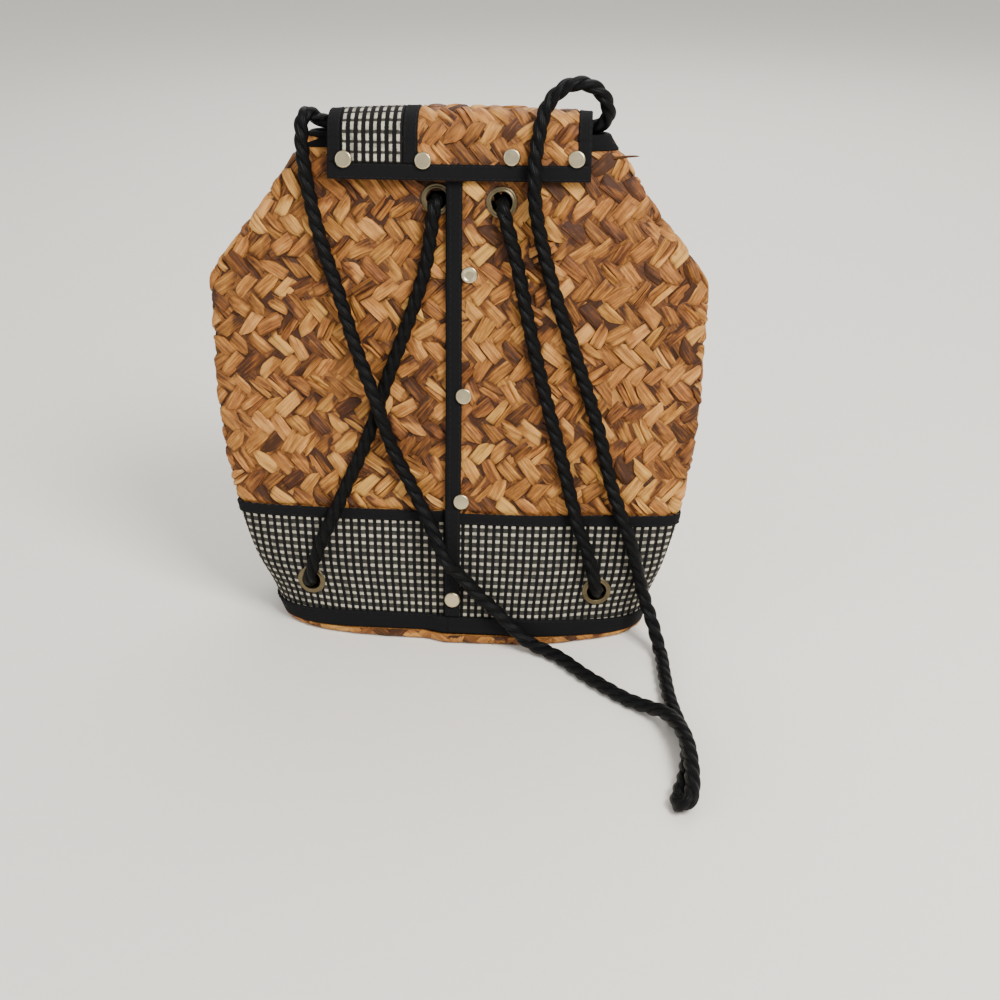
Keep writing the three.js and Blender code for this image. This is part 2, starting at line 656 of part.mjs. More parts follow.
// The rope's points through a grommet, from the outside in, coming from a place on the front
function passage([x, z], band, [fromX, fromZ]) {
  const seat = frontSeat(x, z, band + 2 * CLEARANCE);
  const towards = new THREE.Vector3(fromX - x, 0, fromZ - z);
  towards.addScaledVector(seat.out, -towards.dot(seat.out)).normalize();
  return PASSAGE.map(([along, height]) => {
    return seat.point.clone().addScaledVector(towards, along).addScaledVector(seat.out, height);
  });
}

// The tail: the rope's two runs lie together on the floor and cross slowly, then meet in a
// bight. Side is 1 for the upper run and -1 for the lower one.
function tailPoint(row, side, angle) {
  const last = TAIL.length - 1;
  const [x, y] = TAIL[row];
  const [ahead, behind] = [TAIL[Math.min(row + 1, last)], TAIL[Math.max(row - 1, 0)]];
  const along = new THREE.Vector2(ahead[0] - behind[0], ahead[1] - behind[1]).normalize();
  const phase = Math.PI * (0.2 + 0.6 * row / last);
  const turn = side * Math.cos(angle);
  const spread = turn * TAIL_SPACING / 2 * Math.cos(phase);
  const rise = (turn + 1) / 2 * TAIL_SPACING * Math.sin(phase);
  const reach = TAIL_SPACING / 2 * Math.sin(angle);
  return new THREE.Vector3(x + along.y * spread + along.x * reach,
    y - along.x * spread + along.y * reach, CORD_ON_FLOOR + rise);
}

// Every step of the rope ends at one of its points
class Route extends THREE.CatmullRomCurve3 {
  getUtoTmapping(share) {
    return share;
  }
}

// The rope: one length from the left knot up, down round the tail and back to the right knot
function cordPoints() {
  const [upperLeft, upperRight] = UPPER_GROMMETS;
  const [lowerLeft, lowerRight] = LOWER_GROMMETS;
  const rows = TAIL.map((unused, row) => row);
  const end = TAIL.length - 1;
  const floor = (points) => points.map((point) => new THREE.Vector3(...point));
  return [
    ...passage(lowerLeft, BAND_OUT, LEFT_STRAP[0]).reverse(),
    ...LEFT_STRAP.map(onFront),
    ...passage(upperLeft, 0, LEFT_STRAP.at(-1)),
    ...LEFT_LOOP.map(overMouth),
    ...LEFT_RUN.map(onFront),
    ...floor(LEFT_FLOOR),
    ...rows.map((row) => tailPoint(row, 1, 0)),
    ...[1, 2].map((step) => tailPoint(end, 1, Math.PI * step / 3)),
    ...rows.reverse().map((row) => tailPoint(row, -1, 0)),
    ...floor(RIGHT_FLOOR),
    ...RIGHT_RUN.map(onFront),
    ...RIGHT_LOOP.map(overMouth),
    ...passage(upperRight, 0, RIGHT_STRAP[0]).reverse(),
    ...RIGHT_STRAP.map(onFront),
    ...passage(lowerRight, BAND_OUT, RIGHT_STRAP.at(-1)),
  ];
}

function addCord() {
  const outline = new THREE.Shape(levelsBetween(0, 2 * Math.PI, CORD_SIDES).slice(1)
    .map((angle) => new THREE.Vector2(Math.cos(angle), Math.sin(angle))
      .multiplyScalar(CORD_DIAMETER / 2)));
  const points = cordPoints();
  addPiece('cord', new THREE.ExtrudeGeometry(outline, {
    steps: points.length - 1, bevelEnabled: false, extrudePath: new Route(points),
  }), 'rope');
}

// The knots that hold the rope's ends behind the lower grommets
function addKnots() {
  const profile = levelsBetween(-Math.PI / 2, Math.PI / 2, 6).map((angle) => {
    return [KNOT_DIAMETER / 2 * Math.cos(angle), KNOT_LENGTH / 2 * Math.sin(angle)];
  });
  for (const [x, z] of LOWER_GROMMETS) {
    const depth = BAND_OUT + 2 * CLEARANCE + PASSAGE.at(-1)[1] - CLEARANCE - KNOT_LENGTH / 2;
    const knot = seatGeometry(turned(profile, 10), frontSeat(x, z, depth));
    addPiece(x < 0 ? 'knot_left' : 'knot_right', knot, 'rope');
  }
}

const holes = addGrommets();
addPiece('body_wall', bodyWall(holes), 'straw');
addPiece('base_panel', basePanel(), 'straw');

const bandEnd = EDGE_X - TAPE - 3 * CLEARANCE;
const bandSheet = wrappedSheet(BAND_BOTTOM, BAND_TOP, bandEnd, CLEARANCE, BAND_OUT);
const band = holes.reduce((cloth, hole) => cloth.subtract(hole), toSolid(bandSheet));
addPiece('check_band', toGeometry(band), 'check_cloth');

const overBand = BAND_OUT + CLEARANCE;
addPiece('band_binding', wrappedSheet(BAND_TOP - BAND_TAPE_HEIGHT, BAND_TOP, bandEnd,
  overBand, overBand + TAPE), 'black_tape');
const overCorners = overBand + 2 * CLEARANCE;
addPiece('base_binding', ringTape((column) => baseRim(column) + CLEARANCE,
  (column) => baseRim(column) + BASE_TAPE_HEIGHT, overCorners, overCorners + TAPE), 'black_tape');
addPiece('placket_binding', placketBinding(), 'black_tape');
addPiece('mouth_binding', mouthBinding(), 'black_tape');
addFlap();
addStuds();
addKnots();

// The origin is the middle of the bag's box, without the rope
const box = new THREE.Box3().setFromObject(model);
addCord();
const centre = box.getCenter(new THREE.Vector3());
for (const piece of model.children) piece.geometry.translate(-centre.x, -centre.y, 0);

export default model;
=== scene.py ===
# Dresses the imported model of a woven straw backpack: plaited straw, check cloth, tapes,
# metal caps and eyelets, and one black rope. Metres, X to the right, Y to the back, Z up.
import math
import random

import bmesh
import bpy
import numpy as np
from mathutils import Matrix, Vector, noise


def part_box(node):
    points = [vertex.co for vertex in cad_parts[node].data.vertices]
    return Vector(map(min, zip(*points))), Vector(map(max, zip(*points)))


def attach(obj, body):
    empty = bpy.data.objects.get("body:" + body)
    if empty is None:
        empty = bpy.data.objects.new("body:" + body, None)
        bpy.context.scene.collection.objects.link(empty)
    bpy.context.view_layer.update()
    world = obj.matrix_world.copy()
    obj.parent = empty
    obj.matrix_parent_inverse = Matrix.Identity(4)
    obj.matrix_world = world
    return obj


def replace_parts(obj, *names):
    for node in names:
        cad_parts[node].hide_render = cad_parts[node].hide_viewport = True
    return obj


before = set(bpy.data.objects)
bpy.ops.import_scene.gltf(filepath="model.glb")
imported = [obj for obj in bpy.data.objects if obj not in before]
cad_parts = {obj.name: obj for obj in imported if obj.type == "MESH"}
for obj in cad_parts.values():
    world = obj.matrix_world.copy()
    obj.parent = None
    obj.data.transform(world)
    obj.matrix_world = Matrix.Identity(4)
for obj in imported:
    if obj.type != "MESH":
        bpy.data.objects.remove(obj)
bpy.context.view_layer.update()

bl_info = {
    "name": "Woven Straw Backpack",
    "version": (1, 0, 0),
    "blender": (4, 5, 0),
    "location": "View3D > Sidebar > Straw Bag",
    "description": "Builds a plaited straw backpack with check cloth, tapes and a rope",
    "category": "Object",
}

MM = 0.001
STRIP_FLOOR = 0.0001

# Sizes of the body, in metres, as in the part's source
BAG_WIDTH = 0.300
BODY_HEIGHT = 0.306
BASE_DEPTH = 0.104
STRAW = 0.0026
CLOTH = 0.0012
TAPE = 0.0009
CLEARANCE = 0.0003
EDGE_X = -0.006
LAP_END = EDGE_X - TAPE - 3 * CLEARANCE
PANEL_LIFT = 0.0044
LIFT_FLAT = 0.045
LIFT_RUN = 0.042
PLACKET_WIDTH = 0.0082
BAND_TOP = 0.084
BAND_TAPE_HEIGHT = 0.0065
BASE_RIM_MIDDLE = 0.0065
BASE_RIM_CORNER = 0.0034
BASE_TAPE_HEIGHT = 0.011
WALL_FOOT = 0.0029
MOUTH_TAPE_HEIGHT = 0.007
FLAP_INSET = 0.0117
FLAP_CLEARANCE = 0.0007
FLAP_RISE = 0.015
FLAP_CROWN = 0.0024
FLAP_DROP = 0.023
FLAP_BACK_DROP = 0.036
FLAP_TAPE_WIDTH = 0.0077
FLAP_BOTTOM_TAPE = 0.009
PATCH_WIDTH = 0.0363
PATCH_TAPE_WIDTH = 0.0086
ORIGIN = Vector((0.00239, 0.00161, 0))

# Sections of the body: level, half width, skew, side, front, back and the outline's power,
# with the same shares as in the part's source
SECTIONS = np.array([
    (0.000, 0.782, 0.000, -0.04, -0.50, 0.50, 3.2),
    (0.075, 0.824, 0.010, -0.10, -0.46, 0.50, 3.2),
    (0.160, 0.878, 0.014, -0.19, -0.41, 0.49, 3.6),
    (0.270, 0.926, 0.012, -0.25, -0.34, 0.47, 3.4),
    (0.350, 0.960, 0.014, -0.22, -0.29, 0.46, 3.2),
    (0.430, 0.983, 0.016, -0.17, -0.23, 0.44, 3.0),
    (0.540, 0.997, 0.016, -0.10, -0.16, 0.41, 3.0),
    (0.725, 1.000, 0.016, -0.01, -0.07, 0.37, 3.0),
    (0.755, 0.964, 0.016, 0.00, -0.05, 0.36, 3.0),
    (0.850, 0.805, 0.016, 0.06, 0.00, 0.34, 3.0),
    (1.000, 0.590, 0.016, 0.18, 0.10, 0.32, 3.0),
])
HALF, SKEW, SIDE, FRONT, BACK, SQUARE = range(1, 7)

# Holes for the eyelets: where the upper ones are, the hole, what the flange covers and how
# far a hole reaches each way along its own line
UPPER_EYELETS = [(-0.0132, 0.2718), (0.0257, 0.2713)]
EYELET_HOLE = 0.0076
EYELET_SEAT = 0.0102
HOLE_DEPTH = 0.02

# The rope's points from the part's source, from the left knot to the right one
ROPE_DIAMETER = 0.008
ROPE_POINTS = [
    (-0.0909, -0.0334, 0.0347), (-0.0920, -0.0404, 0.0356), (-0.0924, -0.0460, 0.0378),
    (-0.0916, -0.0475, 0.0423), (-0.0836, -0.0432, 0.0652), (-0.0762, -0.0411, 0.0810),
    (-0.0681, -0.0356, 0.0985), (-0.0529, -0.0269, 0.1325), (-0.0400, -0.0191, 0.1695),
    (-0.0249, -0.0127, 0.2097), (-0.0170, -0.0076, 0.2355), (-0.0122, -0.0036, 0.2663),
    (-0.0114, -0.0010, 0.2704), (-0.0111, 0.0049, 0.2710), (-0.0110, 0.0120, 0.2700),
    (-0.0256, 0.0191, 0.2750), (-0.0576, 0.0226, 0.2960), (-0.0711, 0.0226, 0.3084),
    (-0.0771, 0.0214, 0.3116), (-0.0831, 0.0200, 0.3146), (-0.0870, 0.0156, 0.3180),
    (-0.0894, 0.0106, 0.3156), (-0.0900, 0.0072, 0.3075), (-0.0884, 0.0036, 0.2840),
    (-0.0811, -0.0042, 0.2520), (-0.0691, -0.0119, 0.2152), (-0.0601, -0.0190, 0.1870),
    (-0.0469, -0.0306, 0.1557), (-0.0380, -0.0323, 0.1270), (-0.0249, -0.0359, 0.0990),
    (-0.0144, -0.0431, 0.0790), (-0.0034, -0.0561, 0.0606), (0.0039, -0.0545, 0.0516),
    (0.0159, -0.0552, 0.0375), (0.0298, -0.0578, 0.0246), (0.0394, -0.0602, 0.0154),
    (0.0484, -0.0626, 0.0078), (0.0655, -0.0712, 0.0042), (0.0864, -0.0934, 0.0042),
    (0.1084, -0.1138, 0.0042), (0.1224, -0.1244, 0.0060), (0.1323, -0.1344, 0.0093),
    (0.1407, -0.1556, 0.0124), (0.1435, -0.1815, 0.0124), (0.1422, -0.2059, 0.0093),
    (0.1400, -0.2093, 0.0080), (0.1365, -0.2088, 0.0055), (0.1353, -0.2049, 0.0042),
    (0.1409, -0.1813, 0.0042), (0.1433, -0.1552, 0.0042), (0.1389, -0.1324, 0.0042),
    (0.1356, -0.1134, 0.0042), (0.1335, -0.0864, 0.0042), (0.1322, -0.0644, 0.0042),
    (0.1268, -0.0504, 0.0185), (0.1218, -0.0450, 0.0310), (0.1182, -0.0424, 0.0441),
    (0.1121, -0.0420, 0.0671), (0.1038, -0.0388, 0.0892), (0.0972, -0.0331, 0.1070),
    (0.0886, -0.0250, 0.1390), (0.0740, -0.0182, 0.1820), (0.0614, -0.0146, 0.2170),
    (0.0518, -0.0098, 0.2499), (0.0476, -0.0085, 0.2720), (0.0469, -0.0078, 0.2850),
    (0.0470, -0.0046, 0.2960), (0.0486, -0.0006, 0.3085), (0.0516, 0.0052, 0.3216),
    (0.0564, 0.0088, 0.3294), (0.0650, 0.0116, 0.3355), (0.0749, 0.0139, 0.3360),
    (0.0829, 0.0159, 0.3314), (0.0874, 0.0179, 0.3240), (0.0878, 0.0202, 0.3166),
    (0.0832, 0.0216, 0.3118), (0.0759, 0.0226, 0.3088), (0.0634, 0.0226, 0.2960),
    (0.0404, 0.0191, 0.2760), (0.0277, 0.0075, 0.2694), (0.0278, 0.0005, 0.2705),
    (0.0284, -0.0055, 0.2700), (0.0296, -0.0080, 0.2660), (0.0374, -0.0116, 0.2378),
    (0.0448, -0.0180, 0.2040), (0.0544, -0.0240, 0.1650), (0.0649, -0.0308, 0.1278),
    (0.0730, -0.0375, 0.0985), (0.0777, -0.0419, 0.0820), (0.0847, -0.0441, 0.0630),
    (0.0901, -0.0480, 0.0421), (0.0911, -0.0466, 0.0375), (0.0906, -0.0411, 0.0352),
    (0.0896, -0.0341, 0.0341),
]

# The photograph's camera
CAMERA_EYE = Vector((0.07792, -0.73446, 0.45099))
CAMERA_TARGET = Vector((0.02819, -0.02339, 0.0878))
FOCAL_PIXELS = 1261.9
PHOTO_PIXELS = 1000
SENSOR = 36


# Settings that a user would change

def length_property(name, description, default):
    return bpy.props.FloatProperty(
        name=name, description=description, default=default, min=0.0, unit="LENGTH")


def colour_property(name, description, default):
    return bpy.props.FloatVectorProperty(
        name=name, description=description, default=default, size=3, min=0.0, max=1.0,
        subtype="COLOR")


class StrawBagSizes(bpy.types.PropertyGroup):
    strip_width: length_property("Strip Width", "Width of one straw strip", 0.0084)
    strip_relief: length_property("Strip Relief", "How far a strip stands proud", 0.0021)
    rope_lay: length_property("Rope Lay", "Length of one turn of the rope's strands", 0.0285)
    check_pitch: length_property("Check Pitch", "Spacing of the check in the band", 0.0048)
    patch_pitch: length_property("Patch Pitch", "Spacing of the check in the patch", 0.0046)
    stitch_length: length_property("Stitch Length", "Length of one stitch", 0.0030)


class StrawBagColours(bpy.types.PropertyGroup):
    straw_pale: colour_property("Pale Straw", "Palest strips", (0.60, 0.320, 0.090))
    straw_gold: colour_property("Golden Straw", "Most strips", (0.355, 0.147, 0.032))
    straw_brown: colour_property("Brown Straw", "Darker strips", (0.160, 0.056, 0.012))
    straw_dark: colour_property("Dark Straw", "Darkest strips", (0.046, 0.0145, 0.0035))
    check_pale: colour_property("Check Yarn", "Pale yarn of the check", (0.60, 0.565, 0.45))
    cloth_black: colour_property("Black Cloth", "Tape and check", (0.0034, 0.0034, 0.0040))
    rope_black: colour_property("Black Rope", "Rope strands", (0.0012, 0.0013, 0.0015))
    cap_metal: colour_property("Cap Metal", "Caps of the studs", (0.66, 0.575, 0.37))
    eyelet_metal: colour_property("Eyelet Metal", "Eyelets", (0.22, 0.175, 0.10))
    floor: colour_property("Floor", "Floor under the bag", (0.87, 0.835, 0.765))


def sizes():
    return bpy.context.scene.straw_bag_sizes


def colours():
    return bpy.context.scene.straw_bag_colours


# Surface of the body

def section_columns(z):
    """Smooth steps between the table's rows, without overshoot, for an array of heights."""
    level = np.clip(np.asarray(z, float) / BODY_HEIGHT, 0, 1)
    levels = SECTIONS[:, 0]
    row = np.clip(np.searchsorted(levels, level, side="left") - 1, 0, len(levels) - 2)
    span = levels[row + 1] - levels[row]
    t = (level - levels[row]) / span
    rise = t * t * (3 - 2 * t)
    columns = [level]
    for column in range(1, SECTIONS.shape[1]):
        values = SECTIONS[:, column]
        steps = np.diff(values) / np.diff(levels)
        both = steps[:-1] * steps[1:]
        inner = np.where(both > 0, 2 * both / np.where(both > 0, steps[:-1] + steps[1:], 1), 0)
        slopes = np.concatenate([steps[:1], inner, steps[-1:]])
        low, high = values[row], values[row + 1]
        leave = t * (1 - t) ** 2 * span * slopes[row]
        arrive = t * t * (t - 1) * span * slopes[row + 1]
        columns.append(low + (high - low) * rise + leave + arrive)
    return columns


class BodySurface:
    """The body's outer surface by distance round from the front's middle, and height."""

    ANGLES = 240
    SHARES = 480

    def __init__(self):
        self.heights = np.linspace(0, BODY_HEIGHT, 307)
        columns = section_columns(self.heights)
        half = columns[HALF] * BAG_WIDTH / 2
        side, front, back = (columns[c] * BASE_DEPTH for c in (SIDE, FRONT, BACK))
        self.skew = columns[SKEW]
        angle = np.linspace(0, math.pi, self.ANGLES + 1)
        shares = np.linspace(0, 1, self.SHARES + 1)
        self.x = np.empty((len(self.heights), len(shares)))
        self.y = np.empty_like(self.x)
        self.length = np.empty(len(self.heights))
        for k, power in enumerate(columns[SQUARE]):
            across = np.sin(angle).clip(0) ** (2 / power)
            ahead = np.sign(np.cos(angle)) * np.abs(np.cos(angle)) ** (2 / power)
            reach = np.where(ahead > 0, side[k] - front[k], back[k] - side[k])
            x, y = half[k] * across, side[k] - ahead * reach
            along = np.concatenate([[0], np.cumsum(np.hypot(np.diff(x), np.diff(y)))])
            self.length[k] = along[-1]
            self.x[k] = np.interp(shares * along[-1], along, x)
            self.y[k] = np.interp(shares * along[-1], along, y)

    def length_at(self, z):
        return np.interp(z, self.heights, self.length)

    def flat(self, distance, z):
        """Points without any offset."""
        length = self.length_at(z)
        turn = np.mod(distance + length, 2 * length) - length
        column = np.abs(turn) / length * self.SHARES
        row = np.clip(z, 0, BODY_HEIGHT) / BODY_HEIGHT * (len(self.heights) - 1)
        c = np.clip(column.astype(int), 0, self.SHARES - 1)
        r = np.clip(row.astype(int), 0, len(self.heights) - 2)
        s, t = column - c, row - r

        def blend(table):
            low = table[r, c] * (1 - s) + table[r, c + 1] * s
            high = table[r + 1, c] * (1 - s) + table[r + 1, c + 1] * s
            return low * (1 - t) + high * t

        skew = np.interp(z, self.heights, self.skew)
        x = blend(self.x) * np.where(turn < 0, -1 - skew, 1 - skew)
        return np.stack([x + ORIGIN.x, blend(self.y) + ORIGIN.y, z + 0 * x], axis=-1)

    def normal(self, distance, z):
        step = 0.0012
        high = np.minimum(z + step, BODY_HEIGHT)
        low = np.maximum(z - step, 0)
        along = self.flat(distance + step, z) - self.flat(distance - step, z)
        up = self.flat(distance, high) - self.flat(distance, low)
        return unit(np.cross(along, up))

    def point(self, distance, z, offset):
        offset = np.asarray(offset, float)[..., None] * np.ones(np.shape(distance) + (1,))
        return self.flat(distance, z) + self.normal(distance, z) * offset


def unit(vectors):
    return vectors / np.linalg.norm(vectors, axis=-1, keepdims=True).clip(1e-12)


def smooth(value):
    share = np.clip(value, 0, 1)
    return share * share * (3 - 2 * share)


def panel_lift(distance):
    """How far the right panel is raised where it lies over the left one."""
    return PANEL_LIFT * (1 - smooth((distance - LIFT_FLAT) / LIFT_RUN))


def wrap_lift(distance, length):
    """The lift of a sheet that starts at the right panel's edge and ends below it."""
    return np.where(distance < length, panel_lift(distance), 0)


def ring_lift(distance, length):
    """The lift of a tape that runs right round, which steps down to the left panel."""
    past_edge = 2 * length + EDGE_X - distance
    step = PANEL_LIFT * smooth(1 - past_edge / (2 * PLACKET_WIDTH))
    return np.where(distance < length, panel_lift(distance), step)


def base_rim(share):
    """Height of the base's rim at a share of the way round, 0 and 2 at the front."""
    middle = np.cos(math.pi * share) ** 2
    return BASE_RIM_CORNER + (BASE_RIM_MIDDLE - BASE_RIM_CORNER) * smooth(middle)


def pressed(height, limit):
    """Heights of strips where a tape or an eyelet presses them down to a share of them."""
    return np.where(height > STRIP_FLOOR, STRIP_FLOOR + (height - STRIP_FLOOR) * limit, height)


def lapped(low, width):
    """A surface(u, v, offset) that runs right round the body, from the opening's free edge
    until it ends below it. Its u goes from 0 to a width, and its v up from a height."""
    def surface(u, v, offset):
        z = low + v
        length = BODY.length_at(z)
        distance = EDGE_X + u / width * (2 * length + LAP_END - EDGE_X)
        return BODY.point(distance, z, offset + wrap_lift(distance, length))
    return surface


BODY = BodySurface()


# Surface of the flap

def face_y(x, z, is_front):
    columns = section_columns(z)
    skew = columns[SKEW]
    reach = columns[HALF] * BAG_WIDTH / 2 * np.where(x < 0, 1 + skew, 1 - skew)
    power = columns[SQUARE]
    share = np.clip(1 - np.abs(x / reach) ** power, 0, 1) ** (1 / power)
    side, front, back = (columns[c] * BASE_DEPTH for c in (SIDE, FRONT, BACK))
    return side - (side - front) * share if is_front else side + (back - side) * share


FLAP_HALF = SECTIONS[-1, HALF] * BAG_WIDTH / 2 - FLAP_INSET
FLAP_OVER = CLEARANCE + TAPE + FLAP_CLEARANCE


def flap_line(x, course):
    """The flap's inner face: course -1 to 0 up the back, to 1 over the mouth, to 2 down."""
    mouth = BODY_HEIGHT + 0 * x
    back_y = face_y(x, mouth, False) + FLAP_OVER
    front_y = face_y(x, mouth, True) - PANEL_LIFT - FLAP_OVER
    rise = FLAP_RISE - STRAW - FLAP_CROWN * (x / FLAP_HALF) ** 2
    angle = math.pi * np.clip(course, 0, 1)
    y = (back_y + front_y) / 2 + (back_y - front_y) / 2 * np.cos(angle)
    z = mouth + rise * np.sin(angle)
    behind = BODY_HEIGHT + np.minimum(course, 0) * FLAP_BACK_DROP
    ahead = BODY_HEIGHT - (np.maximum(course, 1) - 1) * FLAP_DROP
    y = np.where(course < 0, face_y(x, behind, False) + FLAP_OVER, y)
    y = np.where(course > 1, face_y(x, ahead, True) - PANEL_LIFT - FLAP_OVER, y)
    z = np.where(course < 0, behind, np.where(course > 1, ahead, z))
    return y, z


def flap_point(x, course, offset):
    """Points of the flap, moved out of its inner face."""
    y, z = flap_line(x, course)
    ahead_y, ahead_z = flap_line(x, course + 0.02)
    behind_y, behind_z = flap_line(x, course - 0.02)
    along = unit(np.stack([ahead_y - behind_y, ahead_z - behind_z], axis=-1))
    return np.stack([x + ORIGIN.x, y + along[..., 1] * offset + ORIGIN.y,
                     z - along[..., 0] * offset], axis=-1)


class FlapCourse:
    """Length along the flap from its back hem to its front hem, at its middle."""

    def __init__(self):
        self.course = np.linspace(-1, 2, 601)
        y, z = flap_line(0 * self.course, self.course)
        self.along = np.concatenate([[0], np.cumsum(np.hypot(np.diff(y), np.diff(z)))])
        self.length = self.along[-1]

    def at(self, along):
        return np.interp(along, self.along, self.course)

    def distance(self, course):
        return float(np.interp(course, self.course, self.along))


FLAP = FlapCourse()

# Where the flap's side tapes end, its middle tape starts and its front tape starts
FLAP_LEFT = -FLAP_HALF + FLAP_TAPE_WIDTH
FLAP_RIGHT = FLAP_HALF - FLAP_TAPE_WIDTH
FLAP_MIDDLE = FLAP_LEFT + PATCH_WIDTH + 2 * CLEARANCE
FLAP_FRONT = FLAP.distance(2 - FLAP_BOTTOM_TAPE / FLAP_DROP)


# Mesh helpers

def add_object(name, verts, faces, material, closed=True):
    """A new piece, which rides the root. The faces of a closed one are turned outwards."""
    mesh = bpy.data.meshes.new(name)
    mesh.from_pydata([tuple(v) for v in verts], [], faces)
    mesh.validate()
    if closed:
        shell = bmesh.new()
        shell.from_mesh(mesh)
        bmesh.ops.recalc_face_normals(shell, faces=shell.faces)
        shell.to_mesh(mesh)
        shell.free()
    mesh.shade_smooth()
    mesh.materials.append(material)
    piece = bpy.data.objects.new(name, mesh)
    bpy.context.collection.objects.link(piece)
    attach(piece, "root")
    return piece


def add_layer(piece, name, values):
    """Stores one vector for each vertex, for the material to read."""
    layer = piece.data.attributes.new(name, "FLOAT_VECTOR", "POINT")
    layer.data.foreach_set("vector", np.asarray(values, dtype=np.float32).ravel())


def grid_faces(rows, columns, start=0, ring=False, flip=False):
    """Faces over rows of points. In a ring, the last column joins the first."""
    faces = []
    for v in range(rows - 1):
        low, high = start + v * columns, start + (v + 1) * columns
        for u in range(columns if ring else columns - 1):
            n = (u + 1) % columns
            a, b, c, d = low + u, low + n, high + n, high + u
            faces.append((a, d, c, b) if flip else (a, b, c, d))
    return faces


def thick_grid(outer, inner, ring=False):
    """Vertices and faces of a closed sheet between two grids [row, column, xyz]."""
    rows, columns = outer.shape[:2]
    size = rows * columns
    faces = grid_faces(rows, columns, 0, ring) + grid_faces(rows, columns, size, ring, True)
    for u in range(columns if ring else columns - 1):
        n = (u + 1) % columns
        faces.append((u, size + u, size + n, n))
        top = (rows - 1) * columns
        faces.append((top + u, top + n, size + top + n, size + top + u))
    if not ring:
        for v in range(rows - 1):
            a, b = v * columns, (v + 1) * columns
            faces.append((a, b, size + b, size + a))
            a, b = a + columns - 1, b + columns - 1
            faces.append((a, size + a, size + b, b))
    return np.concatenate([outer.reshape(-1, 3), inner.reshape(-1, 3)]), faces


def closed_sweep(sections):
    """Vertices and faces of a ring of closed profiles [column, corner, xyz]."""
    columns, corners = sections.shape[:2]
    faces = []
    for u in range(columns):
        n = (u + 1) % columns
        for k in range(corners):
            m = (k + 1) % corners
            faces.append((u * corners + k, n * corners + k, n * corners + m, u * corners + m))
    return sections.reshape(-1, 3), faces


def turned(profile, sides, centre, out):
    """Vertices and faces of a solid of revolution round out, from [radius, height]."""
    turn = Vector((0, 0, 1)).rotation_difference(out).to_matrix()
    verts = []
    for radius, height in profile:
        for k in range(sides):
            angle = 2 * math.pi * k / sides
            place = Vector((radius * math.cos(angle), radius * math.sin(angle), height))
            verts.append(turn @ place + centre)
    return verts, grid_faces(len(profile), sides, ring=True)


def seat_of(node):
    """The middle of a round flat CAD piece's back, the way that it faces, and its height."""
    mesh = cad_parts[node].data
    points = np.array([v.co[:] for v in mesh.vertices])
    centred = points - points.mean(axis=0)
    out = np.linalg.eigh(centred.T @ centred)[1][:, 0]
    if out[1] > 0:
        out = -out
    depth = centred @ out
    foot = points.mean(axis=0) + out * depth.min()
    return Vector(foot), Vector(out), float(depth.max() - depth.min())


def in_hole(point, seats, radius):
    """Whether a point lies inside one of the round holes."""
    for foot, out in seats:
        away = point - foot
        along = away.dot(out)
        if (away - out * along).length < radius and abs(along) < HOLE_DEPTH:
            return True
    return False


def eyelet_seats(*rows):
    return [seat_of(f"grommet_{row}_{side}")[:2] for row in rows for side in ("left", "right")]


def cut_holes(piece, row):
    """Takes out the faces inside the holes of a row of eyelets."""
    seats = eyelet_seats(row)
    mesh = bmesh.new()
    mesh.from_mesh(piece.data)
    inside = [face for face in mesh.faces
              if in_hole(face.calc_center_median(), seats, EYELET_HOLE)]
    bmesh.ops.delete(mesh, geom=inside, context="FACES")
    mesh.to_mesh(piece.data)
    mesh.free()


# Shader helpers

def new_material(name):
    material = bpy.data.materials.new(name)
    material.use_nodes = True
    tree = material.node_tree
    tree.nodes.clear()
    shader = tree.nodes.new("ShaderNodeBsdfPrincipled")
    output = tree.nodes.new("ShaderNodeOutputMaterial")
    tree.links.new(shader.outputs["BSDF"], output.inputs["Surface"])
    return material, tree, shader


def put(tree, kind, links=None, **settings):
    """Adds a node, sets its properties or input values, and links its inputs."""
    node = tree.nodes.new(kind)
    for key, value in settings.items():
        if key in node.inputs:
            node.inputs[key].default_value = value
        else:
            setattr(node, key, value)
    for key, source in (links or {}).items():
        tree.links.new(source, node.inputs[key])
    return node


def maths(tree, operation, a, b=None, c=None):
    node = tree.nodes.new("ShaderNodeMath")
    node.operation = operation
    for index, value in enumerate((a, b, c)):
        if value is None:
            continue
        if isinstance(value, (int, float)):
            node.inputs[index].default_value = value
        else:
            tree.links.new(value, node.inputs[index])
    return node.outputs[0]


def mix_colour(tree, factor, a, b, blend="MIX"):
    node = tree.nodes.new("ShaderNodeMix")
    node.data_type = "RGBA"
    node.blend_type = blend
    for socket, value in ((node.inputs[0], factor), (node.inputs[6], a), (node.inputs[7], b)):
        if hasattr(value, "is_output"):
            tree.links.new(value, socket)
        elif isinstance(value, (int, float)):
            socket.default_value = value
        else:
            socket.default_value = (*value[:3], 1)
    return node.outputs[2]


def ramp(tree, factor, stops):
    node = tree.nodes.new("ShaderNodeValToRGB")
    elements = node.color_ramp.elements
    while len(elements) < len(stops):
        elements.new(0.5)
    for element, (position, colour) in zip(elements, stops):
        element.position = position
        value = (colour,) * 3 if isinstance(colour, (int, float)) else tuple(colour)[:3]
        element.color = (*value, 1)
    tree.links.new(factor, node.inputs[0])
    return node.outputs[0]


def new_group(name, inputs, outputs):
    """An empty node group with named sockets, and its two end nodes."""
    group = bpy.data.node_groups.new(name, "ShaderNodeTree")
    for label, kind, default in inputs:
        socket = group.interface.new_socket(label, in_out="INPUT", socket_type=kind)
        if default is not None:
            socket.default_value = default
    for label, kind in outputs:
        group.interface.new_socket(label, in_out="OUTPUT", socket_type=kind)
    return group, group.nodes.new("NodeGroupInput"), group.nodes.new("NodeGroupOutput")


